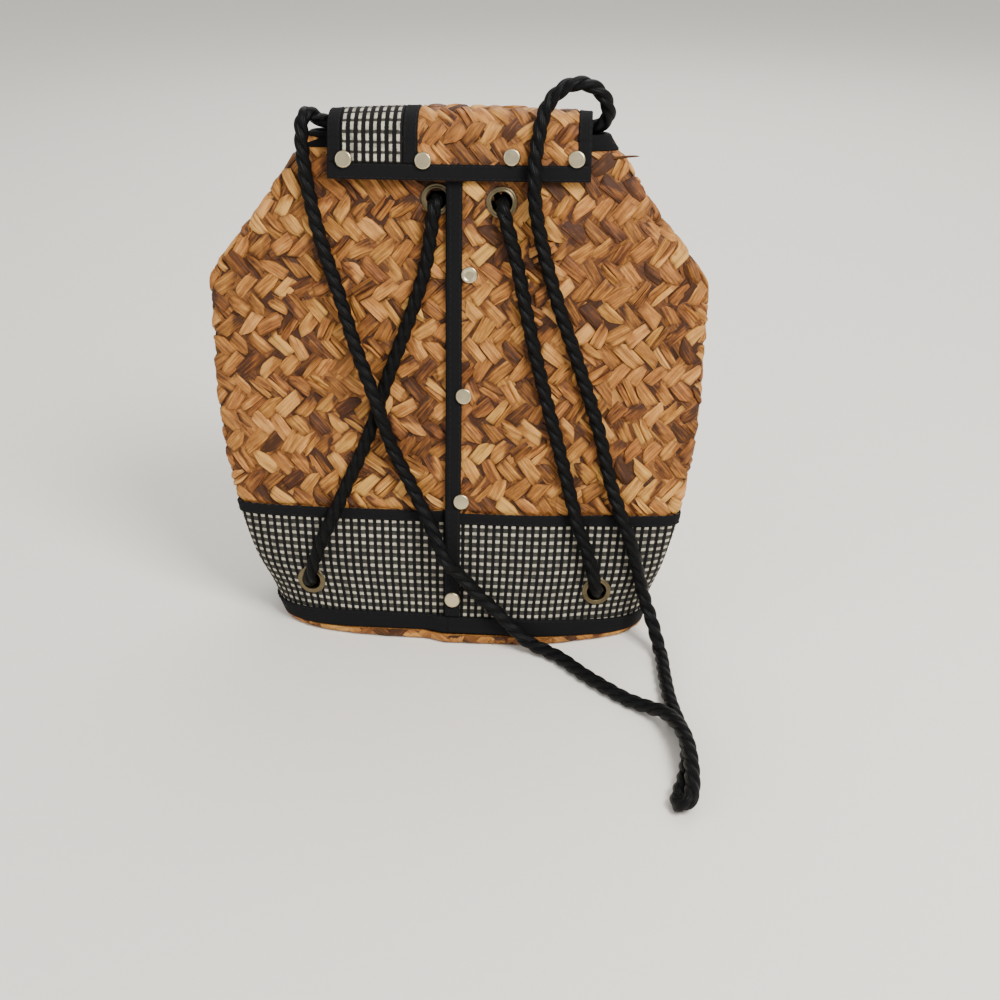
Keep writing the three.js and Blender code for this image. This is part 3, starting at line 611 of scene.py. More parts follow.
def place_group(tree, group, **links):
    node = tree.nodes.new("ShaderNodeGroup")
    node.node_tree = group
    for key, value in links.items():
        socket = node.inputs[key]
        if hasattr(value, "is_output"):
            tree.links.new(value, socket)
        else:
            socket.default_value = value
    return node


def finish_shader(tree, shader, colour, height, strength, distance, rough=None):
    """Links a colour, a bump and a roughness that varies to a material's shader."""
    tree.links.new(colour, shader.inputs["Base Color"])
    if rough is not None:
        tree.links.new(rough, shader.inputs["Roughness"])
    bump = put(tree, "ShaderNodeBump", {"Height": height}, Strength=strength, Distance=distance)
    tree.links.new(bump.outputs[0], shader.inputs["Normal"])


def stretched(tree, vector, scale):
    """A vector scaled by a different value along each axis."""
    node = put(tree, "ShaderNodeVectorMath", {0: vector}, operation="MULTIPLY")
    node.inputs[1].default_value = scale
    return node.outputs[0]


def varied(tree, value, middle, gain):
    """How far a value lies from a middle, times a gain."""
    return maths(tree, "MULTIPLY", maths(tree, "SUBTRACT", value, middle), gain)


FLOAT, VECTOR = "NodeSocketFloat", "NodeSocketVector"


def fibre_group():
    """Long fibres: noise stretched along the first coordinate, in millimetres."""
    group = bpy.data.node_groups.get("Fibre Grain")
    if group:
        return group
    group, start, end = new_group(
        "Fibre Grain", [("Strand", VECTOR, None), ("Fineness", FLOAT, 1.0)],
        [("Streaks", FLOAT), ("Blotches", FLOAT)])
    fine = stretched(group, start.outputs["Strand"], (0.055, 0.85, 7.0))
    streaks = put(group, "ShaderNodeTexNoise", {"Vector": fine, "Scale": start.outputs["Fineness"]},
                  Detail=6.0, Roughness=0.68)
    wide = stretched(group, start.outputs["Strand"], (0.11, 0.22, 3.0))
    blotches = put(group, "ShaderNodeTexNoise", {"Vector": wide}, Scale=1.0, Detail=3.0,
                   Roughness=0.55)
    group.links.new(streaks.outputs[0], end.inputs["Streaks"])
    group.links.new(blotches.outputs[0], end.inputs["Blotches"])
    return group


def weave_group():
    """Plain weave of fine yarn: its height and a soft mottle, over millimetres."""
    group = bpy.data.node_groups.get("Fine Weave")
    if group:
        return group
    group, start, end = new_group(
        "Fine Weave", [("Place", VECTOR, None), ("Pitch", FLOAT, 0.6)],
        [("Height", FLOAT), ("Mottle", FLOAT)])
    parts = put(group, "ShaderNodeSeparateXYZ", {0: start.outputs["Place"]})
    turns = maths(group, "DIVIDE", 2 * math.pi, start.outputs["Pitch"])
    warp = maths(group, "SINE", maths(group, "MULTIPLY", parts.outputs[0], turns))
    weft = maths(group, "SINE", maths(group, "MULTIPLY", parts.outputs[1], turns))
    cross = maths(group, "MULTIPLY", warp, weft)
    mottle = put(group, "ShaderNodeTexNoise", {"Vector": start.outputs["Place"]},
                 Scale=1.7, Detail=4.0, Roughness=0.7)
    height = maths(group, "ADD", maths(group, "MULTIPLY", cross, 0.5), mottle.outputs[0])
    group.links.new(height, end.inputs["Height"])
    group.links.new(mottle.outputs[0], end.inputs["Mottle"])
    return group


def wear_group():
    """Handling marks on metal, over object space."""
    group = bpy.data.node_groups.get("Metal Wear")
    if group:
        return group
    group, start, end = new_group(
        "Metal Wear", [("Place", VECTOR, None), ("Scale", FLOAT, 300.0)],
        [("Marks", FLOAT), ("Scratches", FLOAT)])
    marks = put(group, "ShaderNodeTexNoise",
                {"Vector": start.outputs["Place"], "Scale": start.outputs["Scale"]},
                Detail=6.0, Roughness=0.65)
    fine = maths(group, "MULTIPLY", start.outputs["Scale"], 6.0)
    scratches = put(group, "ShaderNodeTexNoise",
                    {"Vector": start.outputs["Place"], "Scale": fine}, Detail=2.0)
    group.links.new(marks.outputs[0], end.inputs["Marks"])
    group.links.new(scratches.outputs[0], end.inputs["Scratches"])
    return group


# Materials

def straw_material():
    """Plaited straw: each strip has a tone of its own, with fibres along it."""
    if "Plaited Straw" in bpy.data.materials:
        return bpy.data.materials["Plaited Straw"]
    material, tree, shader = new_material("Plaited Straw")
    strand = put(tree, "ShaderNodeAttribute", attribute_name="strand")
    tone = put(tree, "ShaderNodeAttribute", attribute_name="tone")
    grain = place_group(tree, fibre_group(), Strand=strand.outputs["Vector"], Fineness=1.0)
    streaks, blotches = grain.outputs["Streaks"], grain.outputs["Blotches"]
    parts = put(tree, "ShaderNodeSeparateXYZ", {0: tone.outputs["Vector"]})
    shade = maths(tree, "ADD", parts.outputs[0], varied(tree, blotches, 0.5, 0.75))
    shade = maths(tree, "ADD", shade, varied(tree, streaks, 0.5, 1.5))
    c = colours()
    colour = ramp(tree, shade, [(0.0, c.straw_dark), (0.26, c.straw_brown),
                                (0.56, c.straw_gold), (0.92, c.straw_pale)])
    # The tone's third value turns the hue, and its second mixes in painted shade: it darkens the
    # strips' ends, edges and creases, the gaps and the underlayers
    tint = mix_colour(tree, parts.outputs[2], (1.0, 1.0, 0.80), (1.0, 0.90, 0.88))
    colour = mix_colour(tree, 1.0, colour, tint, "MULTIPLY")
    colour = mix_colour(tree, parts.outputs[1], colour, (0.030, 0.0092, 0.0020))
    shader.inputs["Specular IOR Level"].default_value = 0.26
    rough = maths(tree, "ADD", 0.42, maths(tree, "MULTIPLY", blotches, 0.3))
    finish_shader(tree, shader, colour, streaks, 0.9, 0.0009, rough)
    return material


def check_material():
    """Check cloth: pale squares of yarn between black ribs. The attribute counts cells across
    and up, and its third value is how tall a cell is for its width."""
    if "Check Cloth" in bpy.data.materials:
        return bpy.data.materials["Check Cloth"]
    material, tree, shader = new_material("Check Cloth")
    cell = put(tree, "ShaderNodeAttribute", attribute_name="cell").outputs["Vector"]
    parts = put(tree, "ShaderNodeSeparateXYZ", {0: cell})
    ragged = put(tree, "ShaderNodeTexNoise", {"Vector": cell}, Scale=5.0, Detail=3.0)
    masks = []
    # Half of a square's size in its cell, from the cell's height: across, then up
    for index, gain, start in ((0, -0.25, 0.56), (1, 0.646, -0.411)):
        half = maths(tree, "ADD", maths(tree, "MULTIPLY", parts.outputs[2], gain), start)
        part = maths(tree, "FRACT", parts.outputs[index])
        away = maths(tree, "ABSOLUTE", maths(tree, "SUBTRACT", part, 0.5))
        away = maths(tree, "ADD", away, varied(tree, ragged.outputs[0], 0.5, 0.14))
        edge = maths(tree, "DIVIDE", maths(tree, "SUBTRACT", half, away), 0.09)
        masks.append(maths(tree, "MINIMUM", maths(tree, "MAXIMUM", edge, 0.0), 1.0))
    # The yarn shows faintly between one square and the next one up
    rows = maths(tree, "ADD", maths(tree, "MULTIPLY", masks[1], 0.92), 0.08)
    mask = maths(tree, "MULTIPLY", masks[0], rows)
    yarn = stretched(tree, cell, (26.0, 3.0, 1.0))
    twist = put(tree, "ShaderNodeTexNoise", {"Vector": yarn}, Scale=1.0, Detail=3.0)
    patchy = put(tree, "ShaderNodeTexNoise", {"Vector": cell}, Scale=0.9, Detail=2.0)
    faint = ramp(tree, patchy.outputs[0], [(0.34, 0.45), (0.56, 1.0)])
    c = colours()
    pale = mix_colour(tree, twist.outputs[0], (0.36, 0.335, 0.26), c.check_pale)
    pale = mix_colour(tree, 1.0, pale, faint, "MULTIPLY")
    colour = mix_colour(tree, mask, c.cloth_black, pale)
    shader.inputs["Roughness"].default_value = 0.85
    shader.inputs["Specular IOR Level"].default_value = 0.2
    height = maths(tree, "ADD", mask, maths(tree, "MULTIPLY", twist.outputs[0], 0.5))
    finish_shader(tree, shader, colour, height, 0.6, 0.0003)
    return material


def tape_material():
    """Black tape, with a fine weave and stitches whose place has a third value below zero, painted a
    little lighter as a painted sheen.
    """
    if "Black Tape" in bpy.data.materials:
        return bpy.data.materials["Black Tape"]
    material, tree, shader = new_material("Black Tape")
    place = put(tree, "ShaderNodeAttribute", attribute_name="place").outputs["Vector"]
    weave = place_group(tree, weave_group(), Place=place, Pitch=0.75)
    black = colours().cloth_black
    worn = [v * 2.8 + 0.004 for v in black]
    colour = mix_colour(tree, weave.outputs["Mottle"], black, worn)
    parts = put(tree, "ShaderNodeSeparateXYZ", {0: place})
    # Painted sheen: the stitches are a little lighter than the tape
    painted_stitch_sheen = maths(tree, "LESS_THAN", parts.outputs[2], 0.0)
    colour = mix_colour(tree, painted_stitch_sheen, colour, (0.016, 0.016, 0.018))
    shader.inputs["Roughness"].default_value = 0.8
    shader.inputs["Specular IOR Level"].default_value = 0.1
    finish_shader(tree, shader, colour, weave.outputs["Height"], 0.9, 0.0004)
    return material


def rope_material():
    """Black twisted rope, with yarns that run along each strand."""
    if "Black Rope" in bpy.data.materials:
        return bpy.data.materials["Black Rope"]
    material, tree, shader = new_material("Black Rope")
    strand = put(tree, "ShaderNodeAttribute", attribute_name="strand").outputs["Vector"]
    streaks = place_group(tree, fibre_group(), Strand=strand, Fineness=1.4).outputs["Streaks"]
    parts = put(tree, "ShaderNodeSeparateXYZ", {0: strand})
    yarn = maths(tree, "SINE", maths(tree, "MULTIPLY", parts.outputs[1], 6.5))
    height = maths(tree, "ADD", maths(tree, "MULTIPLY", yarn, 0.35), streaks)
    black = colours().rope_black
    colour = mix_colour(tree, streaks, black, [v * 2.2 + 0.0015 for v in black])
    rough = maths(tree, "ADD", 0.24, maths(tree, "MULTIPLY", streaks, 0.3))
    shader.inputs["Specular IOR Level"].default_value = 0.1
    finish_shader(tree, shader, colour, height, 0.6, 0.0004, rough)
    return material


def metal_material(name, colour, smoothest, roughest, dark):
    """Plated metal: handling marks darken it to a share of its colour and roughen it."""
    if name in bpy.data.materials:
        return bpy.data.materials[name]
    material, tree, shader = new_material(name)
    place = put(tree, "ShaderNodeTexCoord")
    wear = place_group(tree, wear_group(), Place=place.outputs["Object"], Scale=260.0)
    shade = mix_colour(tree, wear.outputs["Marks"], [v * dark for v in colour], colour)
    more = maths(tree, "MULTIPLY", wear.outputs["Marks"], roughest - smoothest)
    shader.inputs["Metallic"].default_value = 1.0
    finish_shader(tree, shader, shade, wear.outputs["Scratches"], 0.08, 0.0001,
                  maths(tree, "ADD", smoothest, more))
    return material


# Rope

# Shares of the rope's radius: a strand's own, and how far its middle is from the rope's
STRAND_LOBE = 0.66
STRAND_REACH = 0.44
YARN_SLANT = 0.55


def smooth_route(points, step):
    """A centripetal spline through the points, cut into even steps."""
    spots = [Vector(p) for p in points]
    ends = [2 * spots[0] - spots[1], *spots, 2 * spots[-1] - spots[-2]]
    dense = []
    for a, b, c, d in zip(ends, ends[1:], ends[2:], ends[3:]):
        t1 = (b - a).length ** 0.5
        t2 = t1 + (c - b).length ** 0.5
        t3 = t2 + (d - c).length ** 0.5
        for k in range(24):
            t = t1 + (t2 - t1) * k / 24
            one = a * ((t1 - t) / t1) + b * (t / t1)
            two = b * ((t2 - t) / (t2 - t1)) + c * ((t - t1) / (t2 - t1))
            three = c * ((t3 - t) / (t3 - t2)) + d * ((t - t2) / (t3 - t2))
            four = one * ((t2 - t) / t2) + two * (t / t2)
            five = two * ((t3 - t) / (t3 - t1)) + three * ((t - t1) / (t3 - t1))
            dense.append(four * ((t2 - t) / (t2 - t1)) + five * ((t - t1) / (t2 - t1)))
    dense.append(spots[-1])
    line = np.array([p[:] for p in dense])
    along = np.concatenate([[0], np.cumsum(np.linalg.norm(np.diff(line, axis=0), axis=1))])
    even = np.linspace(0, along[-1], max(2, round(along[-1] / step)) + 1)
    return np.stack([np.interp(even, along, line[:, k]) for k in range(3)], axis=1), even


def carried_frames(path):
    """Two cross directions that don't spin along the path."""
    tangent = unit(np.gradient(path, axis=0))
    first = np.empty_like(path)
    first[0] = unit(np.cross(tangent[0], [0.3, 0.2, 1.0]))
    for k in range(1, len(path)):
        carried = first[k - 1] - tangent[k] * (first[k - 1] @ tangent[k])
        first[k] = carried / np.linalg.norm(carried)
    return first, np.cross(tangent, first)


def strand_radius(angle, lobe, reach, strands):
    """Outline of strands round a middle: each is a circle of radius lobe, reach away."""
    part = (angle + math.pi / strands) % (2 * math.pi / strands) - math.pi / strands
    return reach * np.cos(part) + np.sqrt(np.maximum(lobe ** 2 - (reach * np.sin(part)) ** 2, 0))


def twisted_rope(path, along, lay, radius, around=42):
    """A three-strand rope round a path, with its strand coordinates in millimetres."""
    first, second = carried_frames(path)
    lobe, reach = radius * STRAND_LOBE, radius * STRAND_REACH
    angle = np.linspace(0, 2 * math.pi, around, endpoint=False)
    verts, strand = [], []
    for k, spot in enumerate(path):
        twist = -2 * math.pi * along[k] / lay
        ring = strand_radius(angle - twist, lobe, reach, 3)
        verts.append(spot + np.outer(ring * np.cos(angle), first[k])
                     + np.outer(ring * np.sin(angle), second[k]))
        local = ((angle - twist + math.pi / 3) % (2 * math.pi / 3)) * radius / MM
        index = np.floor((angle - twist + math.pi / 3) / (2 * math.pi / 3)) % 3
        # Yarns run back across the strand, close to the rope's own line
        strand.append(np.stack([np.full(around, along[k] / MM), local - along[k] / MM * YARN_SLANT,
                                index * 3.7], axis=1))
    faces = grid_faces(len(path), around, 0, ring=True)
    faces.append(tuple(reversed(range(around))))
    faces.append(tuple((len(path) - 1) * around + k for k in range(around)))
    return np.concatenate(verts), faces, np.concatenate(strand)


class STRAWBAG_OT_rope(bpy.types.Operator):
    """Lays the rope along its route, with a knot behind each lower eyelet"""
    bl_idname = "strawbag.rope"
    bl_label = "Add Rope"

    def execute(self, context):
        path, along = smooth_route(ROPE_POINTS, 0.0011)
        # The strands reach a little past the rope's radius, and stay above the floor
        path[:, 2] = np.maximum(path[:, 2], ROPE_DIAMETER * 0.545)
        verts, faces, strand = twisted_rope(path, along, sizes().rope_lay, ROPE_DIAMETER / 2)
        rope = add_object("rope", verts, faces, rope_material())
        add_layer(rope, "strand", strand)
        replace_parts(rope, "cord")
        knots = [self.knot(name) for name in ("knot_left", "knot_right")]
        route = [tuple(p) for p in path[:-3:5]] + [tuple(path[-1])]
        tuple(path[0])
        return {"FINISHED"}

    def knot(self, node):
        """Three turns of rope pulled tight round themselves."""
        low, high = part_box(node)
        middle = (Vector(low) + Vector(high)) / 2
        turn = Vector((0, 0, 1)).rotation_difference(seat_of(node)[1]).to_matrix()
        size = min(h - l for l, h in zip(low, high)) / 2
        points = []
        for k in range(91):
            angle = 2 * math.pi * k / 90
            ring = 0.0042 + 0.0012 * math.cos(3 * angle)
            place = Vector((ring * math.cos(2 * angle), ring * math.sin(2 * angle),
                            0.0026 * math.sin(3 * angle)))
            points.append(middle + turn @ place)
        path, along = smooth_route(points[:-1], 0.0012)
        verts, faces, strand = twisted_rope(path, along, sizes().rope_lay * 0.5, size * 0.5, 18)
        knot = add_object(node.replace("knot", "rope_knot"), verts, faces, rope_material())
        add_layer(knot, "strand", strand)
        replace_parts(knot, node)
        return knot


# Straw

def strip_shape(rng, width, relief, share=1.0):
    """One visible strip between two tucked ends: places in its own length and width, its
    height, how much painted shade each point has and how far a fold shifts its tone. The
    strip is about two widths long, a share of a width wide, and has one crease along it."""
    crease = rng.uniform(-0.5, 0.5)
    u = np.array([-1, -0.87, -0.7, -0.45, -0.22, 0, 0.22, 0.45, 0.7, 0.87, 1])
    v = np.array([-1, -0.87, (crease - 0.87) / 2, crease, (crease + 0.87) / 2, 0.87, 1])
    uu, vv = np.meshgrid(u, v, indexing="ij")
    half_length = width * (1.05 + rng.uniform(-0.15, 0.15))
    half_width = width * 0.5 * rng.uniform(0.9, 1.14) * share
    taper = rng.uniform(-0.2, 0.2)
    wide = half_width * (1 + taper * uu)
    point = rng.choice([-1, -1, 0, 1, 1])
    lean = rng.choice([-1, 1])
    narrow = smooth((uu * point - 0.1) / 1.1) * abs(point) * rng.uniform(0.2, 0.85)
    across = vv * wide * (1 - narrow) + lean * narrow * half_width * 0.7
    across = across + rng.uniform(-0.06, 0.06) * width * (1 - uu ** 2)
    cut = rng.uniform(-0.55, 0.55, 2)
    slant = np.where(uu > 0, cut[0], cut[1]) * vv * np.abs(uu) ** 2
    along = uu * half_length + slant * half_width
    tuck = np.interp(np.abs(uu), [0, 0.45, 0.7, 0.87, 1], [1, 0.98, 0.86, 0.45, -0.4])
    left, right = rng.uniform(0.25, 0.95, 2)
    top = 1.0 if rng.random() < 0.75 else rng.uniform(0.5, 0.7)
    roof = np.interp(v, [-1, -0.87, crease, 0.87, 1], [0.0, left, top, right, 0.0])
    roof = roof[None, :] + rng.uniform(-0.05, 0.05, uu.shape)
    roof = roof + rng.uniform(-0.16, 0.16) * uu
    # A folded strip turns over along a slanting line, and shows its darker back
    fold = np.zeros_like(uu)
    if rng.random() < 0.62:
        turn = rng.uniform(0.5, 1.3) * rng.choice([-1, 1])
        line = uu + turn * vv - rng.uniform(0.1, 0.6)
        fold = smooth(line / 0.25 + 0.5) * rng.uniform(-0.5, 0.14)
        roof = roof - 0.22 * smooth(line / 0.3 + 0.5)
    height = relief * np.where(tuck > 0, tuck * roof, tuck) * rng.uniform(0.85, 1.12)
    # Painted shade: the edges, the tucked ends and a line along the crease are darkened where shade
    # falls
    edge = 0.8 * (np.abs(vv) > 0.95)
    painted_crease_shade = rng.uniform(0, 0.4) * (np.abs(vv - crease) < 0.01)
    ends = np.interp(np.abs(uu), [0, 0.5, 0.75, 0.88, 1], [0, 0, 0.1, 0.4, 1])
    dark = np.clip(edge + ends + painted_crease_shade, 0, 1)
    return along, across, height, dark, fold


def plait(half_span, low, high, width, keep):
    """Centres of the strips of a two-over-two plait on the diagonal: x, y and whether the
    strip runs up to the right."""
    root = math.sqrt(0.5)
    reach = int((half_span + high - low) / width * 1.5) + 4
    rng = np.random.default_rng(5)
    rise, fall = rng.uniform(-0.13, 0.13, (2, 2 * reach + 2)) * width
    strips = []
    for i in range(-reach, reach):
        for j in range(-reach, reach):
            over = (i + j) % 4
            if over == 0:
                a, b, rising = (j + 0.5) * width + fall[j], i * width + rise[i], True
            elif over == 2:
                a, b, rising = j * width + fall[j], (i + 0.5) * width + rise[i], False
            else:
                continue
            x, y = root * (a - b), root * (a + b) + (low + high) / 2
            slip = rng.uniform(-0.07, 0.07, 2) * width
            x += slip[0] + 0.0016 * noise.noise(Vector((x * 22, y * 22, 1.5)))
            y += slip[1] + 0.0016 * noise.noise(Vector((x * 22, y * 22, 8.5)))
            if abs(x) < half_span and low < y < high and keep(x, y):
                strips.append((x, y, rising))
    return strips


def placed(x, y, along, across, angle):
    """Places of a strip that lies at an angle round x, y."""
    return (x + along * math.cos(angle) - across * math.sin(angle),
            y + along * math.sin(angle) + across * math.cos(angle))


class StripMesh:
    """Collects the strips of one piece."""

    def __init__(self, seed, width, relief):
        self.rng = np.random.default_rng(seed)
        self.width, self.relief = width, relief
        self.verts, self.strand, self.tone, self.faces = [], [], [], []
        self.count = 0

    def tone_of(self, x, y, rising):
        """Shades run in streaks along a strip's own line, with odd dark strips."""
        line = round((x - y if rising else x + y) / self.width / math.sqrt(2))
        drift = noise.noise(Vector((line * 1.7, 3.0 * rising, 0.7)))
        tone = 0.57 + 0.12 * drift + self.rng.normal(0, 0.17)
        chance = self.rng.random()
        if chance < 0.10:
            tone -= self.rng.uniform(0.3, 0.55)
        elif chance < 0.24:
            tone -= self.rng.uniform(0.12, 0.3)
        return float(np.clip(tone, 0.02, 1.0))

    def add(self, x, y, rising, surface, flatten):
        """One strip, or two split ones side by side."""
        angle = (math.pi / 4 if rising else 3 * math.pi / 4) + self.rng.normal(0, 0.14)
        self.under_strip(x, y, rising, angle, surface, flatten)
        shares = [(0.0, 1.0)]
        if self.rng.random() < 0.2:
            split = self.rng.uniform(0.36, 0.62)
            shares = [((split - 1) / 2, split), (split / 2, 1 - split)]
        for aside, share in shares:
            shift = aside * self.width
            self.strip(x - shift * math.sin(angle), y + shift * math.cos(angle), rising,
                       angle + self.rng.normal(0, 0.04) * (share < 1), share, surface, flatten)

    def under_strip(self, x, y, rising, angle, surface, flatten):
        """The flat strip that shows in the gaps round a raised one, with painted shade."""
        u, v = np.meshgrid(np.linspace(-1, 1, 5), np.linspace(-1, 1, 4), indexing="ij")
        along, across = u * self.width * 1.2, v * self.width * 0.62
        px, py = placed(x, y, along, across, angle)
        level = self.rng.uniform(-0.0001, 0.00045) + 0.0002 * (1 - v ** 2)
        level = level + self.rng.uniform(-0.00015, 0.00015) * u
        # Painted shade: the under strip is darker than the raised ones, and darker still towards its
        # sides, as the gaps are in shade
        tone = 0 * u + self.tone_of(x, y, rising) - 0.26
        seed, hue = self.rng.uniform(0, 40), self.rng.random()
        self.store(surface(px, py, flatten(px, py, level)), along, across, seed, tone,
                   0.15 + 0.25 * np.abs(v) ** 3, hue)

    def fill(self, centres, surface, flatten):
        for x, y, rising in centres:
            self.add(x, y, rising, surface, flatten)

    def store(self, grid, along, across, seed, tone, dark, hue):
        """Adds a grid of points with what the material reads at each."""
        strand = [along / MM, across / MM, 0 * along + seed]
        self.verts.append(grid.reshape(-1, 3))
        self.strand.append(np.stack(strand, -1).reshape(-1, 3))
        self.tone.append(np.stack([tone, dark, 0 * along + hue], -1).reshape(-1, 3))
        self.faces += grid_faces(*along.shape, self.count, flip=True)
        self.count += along.size

    def strip(self, x, y, rising, angle, share, surface, flatten):
        along, across, height, dark, fold = strip_shape(
            self.rng, self.width, self.relief, share)
        px, py = placed(x, y, along, across, angle)
        height = height + self.rng.uniform(-0.12, 0.12) * self.relief
        top = surface(px, py, flatten(px, py, height))
        skirt = [surface(px[:, k], py[:, k], flatten(px[:, k], py[:, k], height[:, k] - 0.0008))
                 for k in (0, -1)]
        grid = np.concatenate([skirt[0][:, None], top, skirt[1][:, None]], axis=1)

        def widen(table):
            return np.concatenate([table[:, :1], table, table[:, -1:]], axis=1)

        tone = widen(fold) + self.tone_of(x, y, rising)
        seed, hue = self.rng.uniform(0, 40), self.rng.random()
        self.store(grid, widen(along), widen(across), seed, tone, widen(dark), hue)

    def piece(self, name):
        piece = add_object(name, np.concatenate(self.verts), self.faces, straw_material(),
                           closed=False)
        piece.data.set_sharp_from_angle(angle=math.radians(17))
        add_layer(piece, "strand", np.concatenate(self.strand))
        add_layer(piece, "tone", np.concatenate(self.tone))
        return piece


def backing(name, verts, faces, tone=0.12, dark=0.95):
    """The underlayer of a straw piece, by default painted near black as the shade in the gaps
    between the strips.
    """
    piece = add_object(name, verts, faces, straw_material())
    x, _, z = np.asarray(verts).T
    add_layer(piece, "strand", np.stack([x + z, z - x, 0 * x], axis=1) / MM)
    add_layer(piece, "tone", np.tile([tone, dark, 0], (len(x), 1)))
    return piece


def wall_limit(z):
    """How far the wall's strips may rise near the band's top edge and the mouth's tape."""
    return np.minimum(smooth((z - BAND_TOP - 0.0005) / 0.0022),
                      smooth((BODY_HEIGHT - MOUTH_TAPE_HEIGHT - 0.0012 - z) / 0.0026))


def wall_height(z):
    return np.clip(z, BAND_TOP - 0.004, BODY_HEIGHT - 0.0005)


def wall_plait(width, keep):
    """Centres of the wall's strips, from under the band's tape to the mouth."""
    return plait(0.2, BAND_TOP - 0.006, BODY_HEIGHT, width, keep)


def quarter_at(z):
    """A quarter of the way round the body, where the front's strips meet the back's."""
    return float(BODY.length_at(np.clip(z, 0, BODY_HEIGHT))) / 2


class STRAWBAG_OT_wall(bpy.types.Operator):
    """Builds the plaited wall of the bag and its underlayer"""
    bl_idname = "strawbag.wall"
    bl_label = "Add Straw Wall"

    def execute(self, context):
        width, relief = sizes().strip_width, sizes().strip_relief
        front = StripMesh(11, width, relief)
        for right_panel in (False, True):
            self.panel(front, width, right_panel)
        cut_holes(front.piece("straw_wall_front"), "upper")
        self.back(width, relief)
        self.underlayer()
        return {"FINISHED"}

    def panel(self, strips, width, right_panel):
        """One of the two front panels: the right one is raised, and ends at its tape."""
        def surface(distance, z, offset):
            if right_panel:
                distance = np.maximum(distance, EDGE_X + 0.0005)
                offset = offset + panel_lift(distance)
            return BODY.point(distance, wall_height(z), offset)

        def flatten(distance, z, height):
            limit = wall_limit(z)
            if right_panel:
                limit = np.minimum(limit, smooth((distance - EDGE_X - PLACKET_WIDTH) / 0.002))
            for x, level in UPPER_EYELETS:
                away = np.hypot(distance - x, z - level)
                limit = np.minimum(limit, smooth((away - EYELET_SEAT) / 0.002))
            return pressed(height, limit)

        def keep(x, z):
            quarter = quarter_at(z)
            low, high = (EDGE_X - 0.004, quarter) if right_panel else (-quarter, EDGE_X + 0.004)
            in_eyelet = any(math.hypot(x - ex, z - ez) < 0.006 for ex, ez in UPPER_EYELETS)
            return low < x < high and not in_eyelet

        strips.fill(wall_plait(width, keep), surface, flatten)

    def back(self, width, relief):
        strips = StripMesh(12, width, relief)

        def keep(x, z):
            return abs(x) < quarter_at(z) + width * 0.2

        def surface(x, z, offset):
            z = wall_height(z)
            length = BODY.length_at(z)
            distance = length + x
            return BODY.point(distance, z, offset + wrap_lift(distance, length))

        def flatten(x, z, height):
            return pressed(height, wall_limit(z))

        strips.fill(wall_plait(width, keep), surface, flatten)
        strips.piece("straw_wall_back")

    def underlayer(self):
        """The wall under the strips: one sheet whose ends lap at the front, painted near black as
        the shade in the gaps.
        """
        heights = np.linspace(WALL_FOOT, BODY_HEIGHT, 62)
        share = np.linspace(0, 1, 221)
        grids = []
        for offset in (-0.0004, -STRAW):
            rows = []
            for z in heights:
                length = float(BODY.length_at(z))
                distance = EDGE_X + share * (2 * length + 0.0205)
                rows.append(BODY.point(distance, np.full_like(distance, z),
                                       offset + wrap_lift(distance, length)))
            grids.append(np.array(rows))
        verts, faces = thick_grid(*grids)
        seats = eyelet_seats("upper", "lower")
        faces = [f for f in faces if not in_hole(
            Vector(np.mean([verts[k] for k in f], axis=0)), seats, EYELET_HOLE * 0.9)]
        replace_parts(backing("straw_underlayer", verts, faces), "body_wall")


class STRAWBAG_OT_base(bpy.types.Operator):
    """Builds the straw base with its turned-up rim"""
    bl_idname = "strawbag.base"
    bl_label = "Add Straw Base"

    def execute(self, context):
        columns = 240
        share = np.linspace(0, 2, columns, endpoint=False)
        length = float(BODY.length_at(WALL_FOOT))
        distance = share * length
        lift = ring_lift(distance, length)
        rim = base_rim(share)
        out = CLEARANCE + STRAW * 0.9
        # Offset from the body, height and scale towards the middle
        profile = [(-0.004, 0.0, 0.3), (-0.004, 0.0, 0.8), (-0.004, 0.0, 1.0),
                   (-0.0005, 0.0003, 1.0), (out - 0.0006, 0.0012, 1.0), (out, 0.0024, 1.0),
                   (out, None, 1.0), (CLEARANCE, None, 1.0), (CLEARANCE, STRAW, 1.0),
                   (-0.004, STRAW, 0.8), (-0.004, STRAW, 0.3)]
        rings = []
        middle = np.array([ORIGIN.x, ORIGIN.y, 0])
        for offset, z, scale in profile:
            height = rim if z is None else np.full(columns, z)
            ring = BODY.point(distance, np.maximum(height, WALL_FOOT), offset + lift)
            ring = middle + (ring - middle) * scale
            ring[:, 2] = height
            rings.append(ring)
        verts = np.stack(rings).reshape(-1, 3)
        faces = grid_faces(len(profile), columns, ring=True)
        faces.append(tuple(reversed(range(columns))))
        faces.append(tuple((len(profile) - 1) * columns + k for k in range(columns)))
        piece = backing("straw_base_tray", verts, faces, 0.5, 0.1)
        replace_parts(piece, "base_panel")
        self.rim_strips(out)
        return {"FINISHED"}

    def rim_strips(self, out):
        """Short strips round the rim, below the black tape."""
        length = float(BODY.length_at(0.003))
        strips = StripMesh(13, 0.0085, 0.0009)

        def surface(distance, z, offset):
            z = np.clip(z, 0.0007, base_rim(distance / length) + 0.0002)
            lift = ring_lift(distance, length)
            inset = 0.0022 * smooth((0.0024 - z) / 0.0024) ** 2
            points = BODY.point(distance, np.full_like(distance, 0.003),
                                out + lift + offset - inset)
            points[..., 2] = z
            return points

        def flatten(distance, z, height):
            return np.clip(height, 0.00005, 0.0006)

        spacing = 0.0092
        count = int(2 * length / spacing)
        strips.fill([(k * spacing, 0.0035, k % 2 == 0) for k in range(count)], surface, flatten)
        strips.piece("straw_base_rim")


